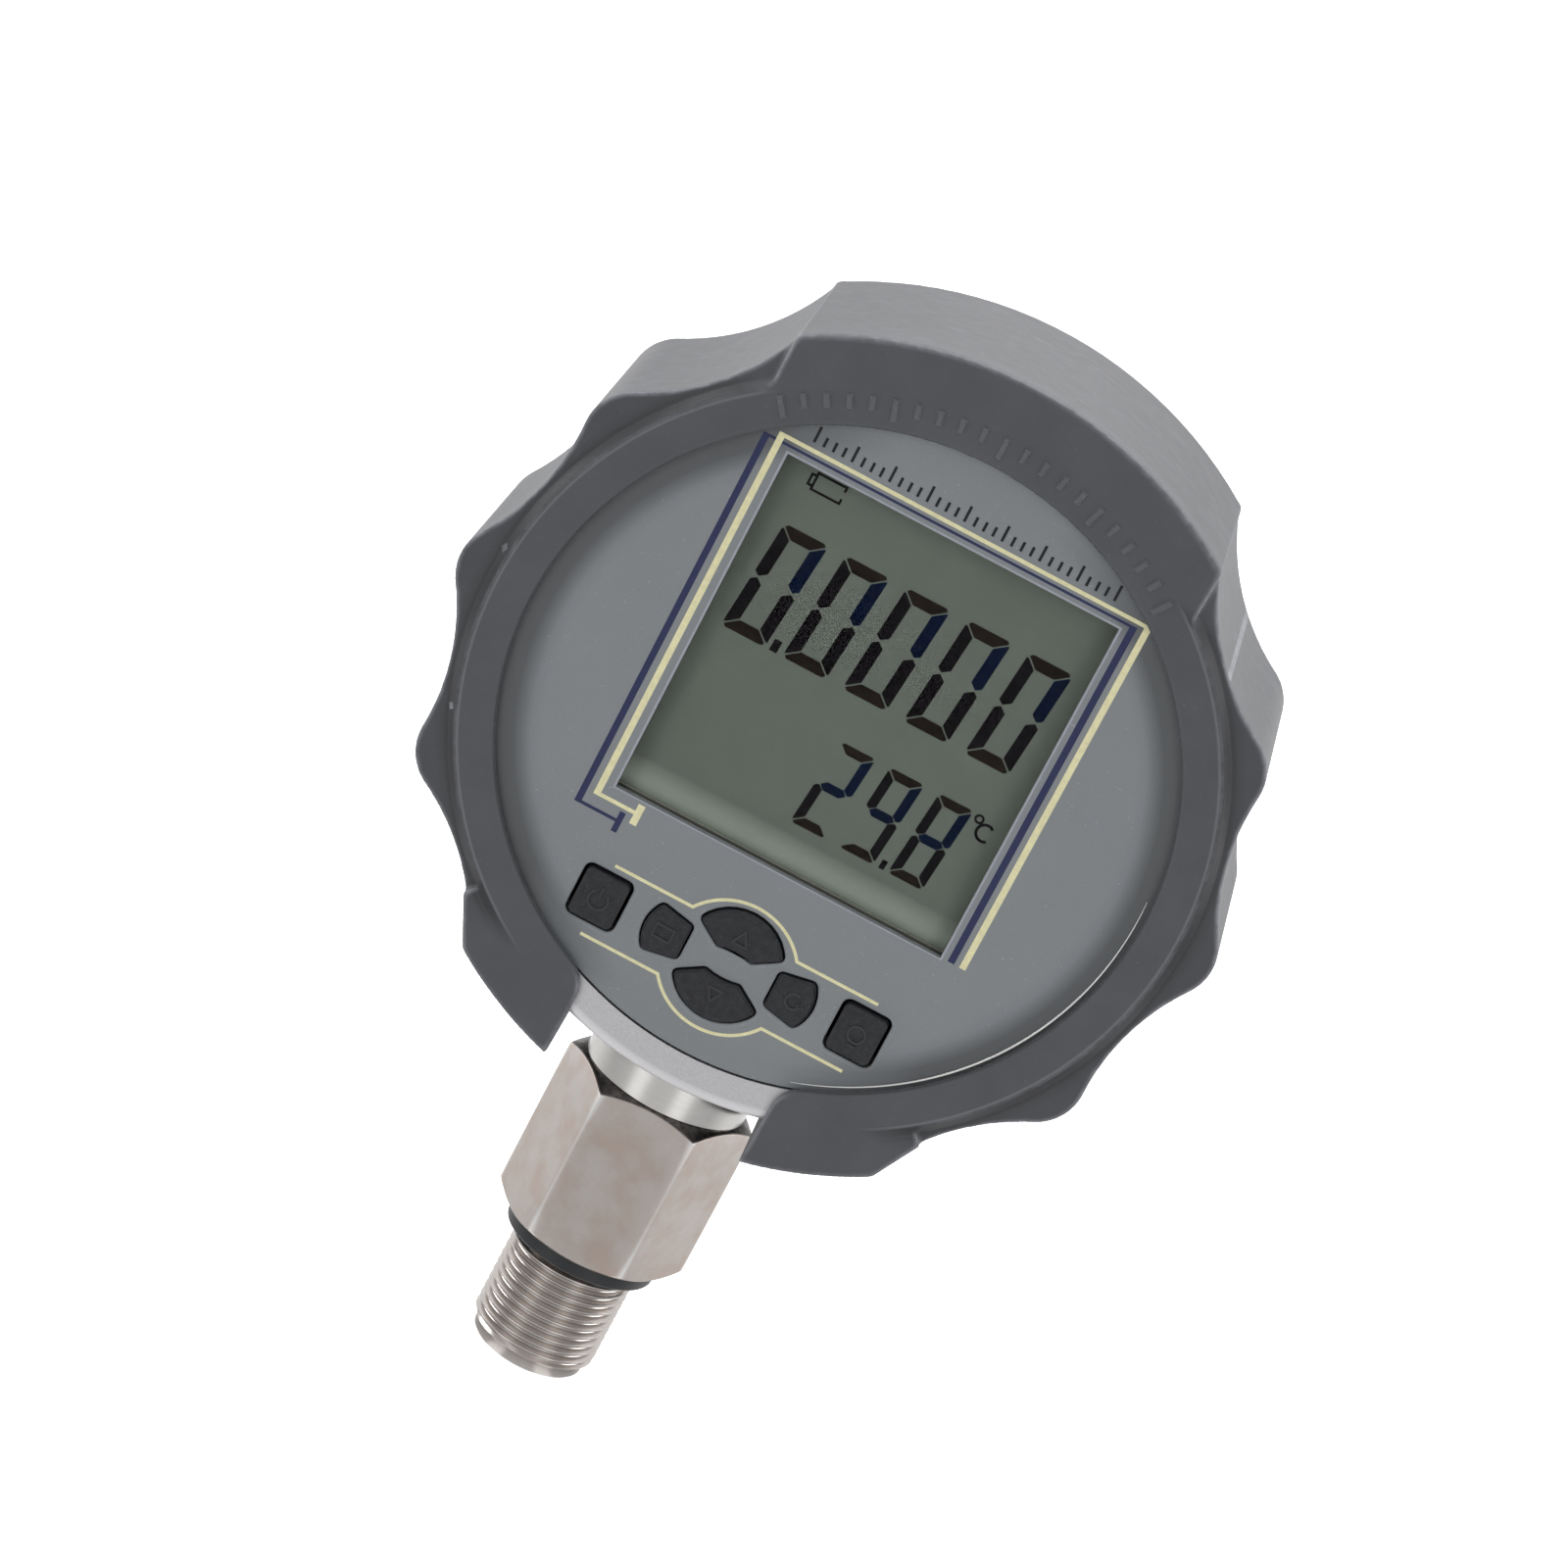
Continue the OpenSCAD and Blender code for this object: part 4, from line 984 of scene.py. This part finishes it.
def thread_share(u):
    """The share of the depth cut at a place of the turn, between the knots of THREAD."""
    u %= 1.0
    for (u0, d0), (u1, d1) in zip(THREAD, THREAD[1:] + [(1.0, 1.0)]):
        if u0 <= u <= u1:
            return d0 + (d1 - d0) * (u - u0) / (u1 - u0)


def connection_finishes():
    """The stained steel of the hexagon with edges lightened as wear and painted highlights, the bright
    thread with painted shade in its hollows, and the upper chamfer painted dark as shade.
    """
    base = chosen("stem")
    hexagon = Finish("hexagon_finish", metallic=1.0, rough=0.36)
    brush = hexagon.noise(0.09, (14, 14, 1), 4, 0.65)
    stain = hexagon.ramp(hexagon.noise(5, detail=4), (0.35, 0), (0.65, 1))
    stained = tuple(c * share for c, share in zip(base, (0.88, 0.80, 0.76)))
    ground = hexagon.mix(stain, hexagon.mix(brush, scaled(base, 0.84), scaled(base, 1.08)), stained)
    # Convex edges lightened towards white, as wear and as painted edge highlights.
    hexagon.paint(hexagon.mix(hexagon.edges(1.0, 0.53, 0.56, 0.8), ground, (1.0, 1.0, 0.99)))
    hexagon.roughen(hexagon.noise(0.5, (6, 6, 1)), 0.28, 0.42)
    hexagon.bump(brush, 0.004)
    thread = Finish("thread_finish", metallic=1.0, rough=0.24)
    # Painted shade: the thread's hollows darkened.
    root_shade = thread.pointed((0.42, 0.75), (0.5, 0))
    crests = thread.ramp(thread.noise(2.4), *shades(base, 0.9, 1))
    thread.paint(thread.mix(root_shade, crests, scaled(base, 0.3)))
    thread.roughen(thread.noise(0.4, (8, 8, 1)), 0.18, 0.30)
    # Painted shade: the upper chamfer made dark.
    chamfer = Finish("chamfer_finish", metallic=1.0, rough=0.3)
    chamfer.tint(scaled(base, 0.22), 0.5, chamfer.noise(1.1))
    chamfer.roughen(chamfer.noise(0.6), 0.22, 0.4)
    return [hexagon.material, thread.material, chamfer.material]


def build_connection():
    """Hexagon, helical thread, pilot and port in one closed mesh of rings."""
    pitch, depth, flat = in_mm("thread_pitch"), in_mm("thread_depth"), in_mm("hexagon") / 2
    foot = STEM_FOOT / MM
    low = foot + 1.7
    # columns every 2.5 degrees, and closer ones at the hexagon's corners
    near_corner = [sign * step for sign in (-1, 1) for step in (0.4, 0.8, 1.2, 1.6, 2.0)]
    angles = sorted({round(k * 2.5, 3) for k in range(144)} |
                    {round((30 + 60 * h + d) % 360, 3) for h in range(6) for d in near_corner})
    flats = [hex_radius(a, flat) for a in angles]

    def circle(r, z):
        return [(r, z)] * len(angles)

    def over_hex(step):
        """A ring from each column's radius and from how far the chamfer drops there."""
        return [step(r, max(0.0, r - END_FACE) * tan(radians(30))) for r in flats]

    # the port's mouth and the end of the pilot, both with broken edges
    rings = [circle(PORT, foot + 0.35), circle(PORT + 0.35, foot), circle(PILOT - 0.6, foot),
             circle(PILOT - 0.5, foot + 0.03), circle(PILOT - 0.03, foot + 0.5),
             circle(PILOT, foot + 0.6), circle(PILOT, low - 0.02)]
    first = len(rings)
    root = THREAD_OUTER - depth
    for turn in range(-1, int((THREAD_TOP - low) / pitch) + 3):
        for u, cut in THREAD:
            row = []
            for a in angles:
                z = low + (turn + u + a / 360) * pitch
                share = cut
                if not low <= z <= THREAD_TOP:
                    z = min(max(z, low), THREAD_TOP)
                    share = thread_share((z - low) / pitch - a / 360)
                # the thread runs out in a cone at either end
                r = min(THREAD_OUTER - share * depth, PILOT + 0.05 + (z - low) * 0.9,
                        root + 0.02 + max(0.0, THREAD_TOP - z) * 1.4)
                row.append((max(r, PILOT + 0.01), z))
            rings.append(row)
    last = len(rings) - 1
    rings += [circle(SHANK, THREAD_TOP + 0.02), circle(SHANK, -0.001)]
    hexagon_start = len(rings)
    edge = [circle(END_FACE, 0.0), over_hex(lambda r, drop: (r - 0.22, max(0.05, drop - 0.127))),
            over_hex(lambda r, drop: (r - 0.05, drop + 0.03)), over_hex(lambda r, drop: (r, drop + 0.2))]
    rings += [circle(END_FACE - 0.2, 0.0), *edge]
    for share in (0.2, 0.4, 0.6, 0.8):
        rings.append([(r, z + (HEXAGON_TOP - 2 * z) * share) for r, z in edge[-1]])
    rings += [[(r, HEXAGON_TOP - z) for r, z in ring] for ring in reversed(edge)]
    chamfer = len(rings) - 2
    rings += [circle(9.8, HEXAGON_TOP), circle(9.56, HEXAGON_TOP - 0.25), circle(9.55, POCKET_FLOOR),
              circle(8.0, POCKET_FLOOR), circle(8.0, SENSOR_FLOOR), circle(PORT, SENSOR_FLOOR)]
    points, faces = loft([stem_ring((a, r, z) for a, (r, z) in zip(angles, row)) for row in rings],
                         closed=True)
    # the last column meets the first one turn higher, so that the groove runs on
    n = len(angles)
    for i in range(first, last):
        near, far = (min(k + len(THREAD), last) * n for k in (i, i + 1))
        quad = (i * n + n - 1, near, far, (i + 1) * n + n - 1)
        faces[i * n + n - 1] = quad if near != far else quad[:1] + quad[2:]
    marks = [1 if i // n < hexagon_start else 2 if i // n == chamfer else 0 for i in range(len(faces))]
    add_mesh("connection_body", points, faces, connection_finishes(), "stem_steel", marks,
             sharp=25, replaced="process_connection")


def build_neck():
    """The neck with its flange over the hexagon and the groove of its seal."""
    low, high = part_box("neck")
    seal_low, seal_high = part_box("neck_seal")
    outer, groove, foot, top = high.x / MM, seal_high.x / MM + 0.05, low.z / MM, high.z / MM
    bore, spigot, groove_inner, shank, groove_deep = 5.0, 9.5, 8.95, 8.0, 0.8
    lying, pad = HEXAGON_TOP + 0.03, seal_low.z / MM + groove_deep
    profile = [(bore, foot), (spigot, foot), (spigot, lying), (outer, lying), (outer, pad - 0.05),
               (groove, pad), (groove, pad - groove_deep), (groove_inner, pad - groove_deep),
               (groove_inner, pad), (shank, pad), (shank, top), (bore, top)]
    f = Finish("neck_finish", metallic=1.0, rough=0.24)
    lines = f.noise(0.06, (40, 40, 1))
    f.tint(chosen("neck"), 0.06, lines)
    f.roughen(f.noise(0.4, (10, 10, 1)), 0.20, 0.28)
    f.bump(lines, 0.002)
    add_mesh("neck_body", *lathe(rounded(profile, 0.25)), f.material, "neck_steel", sharp=40,
             replaced="neck")


def build_stem():
    need("process_connection", "neck", "sealing_ring", "neck_nut", "neck_seal")
    build_connection()
    build_neck()
    low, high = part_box("sealing_ring")
    inner, outer, foot, top = 10.1, high.x / MM, low.z / MM, high.z / MM
    ring = rounded([(inner, foot), (outer, foot), (outer, top), (inner, top)], 0.5, 6)
    seal = rubber("seal_finish", chosen("seal"), rough=(0.35, 0.5))
    add_mesh("sealing_ring_body", *lathe(ring), seal, "seal_rubber", sharp=60,
             replaced="sealing_ring")
    for node in ("neck_seal", "cover_seal", "door_seal", "sensor_ring"):
        dress(node, seal)
    dress("neck_nut", metal("nut_finish", linear(170, 168, 162), lay=(10, 10, 1)))
    dress("sensor_capsule", metal("capsule_finish", linear(190, 190, 190), 0.25, (20, 20, 1)))
    dress("sensor_retainer", metal("retainer_finish", linear(178, 176, 170), lay=(20, 20, 1)))
    film = Finish("film_finish", rough=0.3)
    film.tint(linear(176, 96, 30), 0.1, film.noise(1.2, (1, 1, 20)))
    dress("sensor_flex", film.material)


# Back and inside

def build_back():
    need("rear_cover", "battery_door", "cover_screws", "door_screws")
    base = chosen("cover")
    dress("rear_cover", plastic("cover_finish", base, 0.5, 0.3, 0.03))
    dress("battery_door", plastic("door_finish", scaled(base, 0.9), 0.5, 0.3, 0.03))
    steel = metal("screw_finish", linear(182, 182, 184), 0.28, grain=0.2)
    for node in ("cover_screws", "door_screws", "board_screws"):
        dress(node, steel)


def coil(x, y, z, radius, wire, tall, turns):
    """A tapered spring of round wire with closed ends, standing on z, in mm."""
    steps, around, closed_part, taper = turns * 20, 8, 0.12, 0.25
    rings = []
    for t in (i / steps for i in range(steps + 1)):
        a = 2 * pi * turns * t
        rise = min(max((t - closed_part) / (1 - 2 * closed_part), 0.0), 1.0)
        r = (radius - wire / 2) * (1 - taper * t)
        out = Vector((cos(a), sin(a), 0))
        mid = Vector((x, y, z + wire / 2 + (tall - wire) * rise)) + r * out
        rings.append([(mid + (out * cos(b) + Vector((0, 0, sin(b)))) * wire / 2) * MM
                      for b in (2 * pi * k / around for k in range(around))])
    return loft(rings)


def build_inside():
    cells = ("battery_1", "battery_2", "battery_3")
    need("main_board", "main_chip", "flex_socket", *cells, "battery_springs", "battery_plates")
    f = Finish("board_finish", rough=0.35, Coat_Weight=0.4, Coat_Roughness=0.15)
    traces = f.ramp(f.cells(1.4), (0.42, 0), (0.5, 1))
    base = chosen("board")
    f.paint(f.mix(traces, base, scaled(base, 1.5)))
    f.bump(traces, 0.02)
    dress("main_board", f.material)
    dress("main_chip", plastic("chip_finish", linear(30, 31, 33)))
    dress("flex_socket", plastic("socket_finish", linear(214, 208, 190), 0.4))
    nickel = metal("nickel_finish", linear(198, 196, 190), 0.25, grain=0.2)
    dress("battery_plates", nickel)
    low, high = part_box(cells[0])
    wrap = chosen("wrap")
    for i, node in enumerate(cells, 1):
        f = Finish("wrap_%d_finish" % i, rough=0.3, Coat_Weight=0.3)
        f.paint(f.ramp(f.along("Z", low.z / MM, high.z / MM), (0.0, linear(190, 190, 190)),
                       (0.02, linear(44, 44, 48)), (0.66, linear(48, 48, 52)), (0.68, wrap),
                       (0.965, wrap), (0.975, linear(200, 200, 200))))
        f.roughen(f.noise(2), 0.25, 0.35)
        dress(node, f.material)
    low, high = (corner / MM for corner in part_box("battery_springs"))
    pitch = (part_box(cells[2])[0].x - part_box(cells[1])[0].x) / MM
    springs = [coil(i * pitch, (low.y + high.y) / 2, low.z, (high.y - low.y) / 2, 0.8, high.z - low.z, 4)
               for i in (-1, 0, 1)]
    add_mesh("springs_body", *joined(springs), nickel, "contact_metal", sharp=60,
             replaced="battery_springs")


# Operators

class GAUGE_OT_stage(bpy.types.Operator):
    """Sets up the camera, the floor and the lamps"""
    bl_idname = "gauge.stage"
    bl_label = "Stage"

    def execute(self, context):
        build_stage()
        return {"FINISHED"}


class GAUGE_OT_boot(bpy.types.Operator):
    """Replaces the boot's solid by a softened rubber body"""
    bl_idname = "gauge.boot"
    bl_label = "Rubber boot"

    def execute(self, context):
        build_boot()
        return {"FINISHED"}


class GAUGE_OT_case(bpy.types.Operator):
    """Finishes the case, the front plate and its carrier"""
    bl_idname = "gauge.case"
    bl_label = "Case and plate"

    def execute(self, context):
        build_case()
        return {"FINISHED"}


class GAUGE_OT_print(bpy.types.Operator):
    """Lays the printed lines on the front plate"""
    bl_idname = "gauge.printing"
    bl_label = "Print"

    def execute(self, context):
        build_print()
        return {"FINISHED"}


class GAUGE_OT_display(bpy.types.Operator):
    """Builds the display with its segments and the clear window"""
    bl_idname = "gauge.display"
    bl_label = "Display"

    def execute(self, context):
        build_display()
        return {"FINISHED"}


class GAUGE_OT_keys(bpy.types.Operator):
    """Replaces the keys by soft-edged keys with raised symbols"""
    bl_idname = "gauge.keys"
    bl_label = "Keys"

    def execute(self, context):
        build_keys()
        return {"FINISHED"}


class GAUGE_OT_stem(bpy.types.Operator):
    """Builds the neck, the hexagon, the thread and the sealing ring"""
    bl_idname = "gauge.stem"
    bl_label = "Stem"

    def execute(self, context):
        build_stem()
        return {"FINISHED"}


class GAUGE_OT_back(bpy.types.Operator):
    """Finishes the rear cover, the battery door and the screws"""
    bl_idname = "gauge.back"
    bl_label = "Back"

    def execute(self, context):
        build_back()
        return {"FINISHED"}


class GAUGE_OT_inside(bpy.types.Operator):
    """Finishes the circuit board, the cells and their contacts"""
    bl_idname = "gauge.inside"
    bl_label = "Inside"

    def execute(self, context):
        build_inside()
        return {"FINISHED"}


OPERATORS = (GAUGE_OT_stage, GAUGE_OT_boot, GAUGE_OT_case, GAUGE_OT_print, GAUGE_OT_display,
             GAUGE_OT_keys, GAUGE_OT_stem, GAUGE_OT_back, GAUGE_OT_inside)


class GAUGE_PT_panel(bpy.types.Panel):
    """Lists the steps of the gauge and its sizes and colours"""
    bl_idname = "GAUGE_PT_panel"
    bl_label = "Pressure gauge"
    bl_space_type = "VIEW_3D"
    bl_region_type = "UI"
    bl_category = "Gauge"

    def draw(self, context):
        for operator in OPERATORS:
            self.layout.operator(operator.bl_idname)
        for group in (context.scene.gauge_sizes, context.scene.gauge_colours):
            box = self.layout.box()
            for name in group.bl_rna.properties.keys():
                if name not in ("rna_type", "name"):
                    box.prop(group, name)


CLASSES = (GaugeColours, GaugeSizes, *OPERATORS, GAUGE_PT_panel)


def register():
    for cls in CLASSES:
        bpy.utils.register_class(cls)
    bpy.types.Scene.gauge_colours = PointerProperty(type=GaugeColours)
    bpy.types.Scene.gauge_sizes = PointerProperty(type=GaugeSizes)


def unregister():
    del bpy.types.Scene.gauge_colours
    del bpy.types.Scene.gauge_sizes
    for cls in reversed(CLASSES):
        bpy.utils.unregister_class(cls)


def main():
    register()
    for step in ("stage", "boot", "case", "printing", "display", "keys", "stem", "back", "inside"):
        getattr(bpy.ops.gauge, step)()


if __name__ == "__main__":
    main()
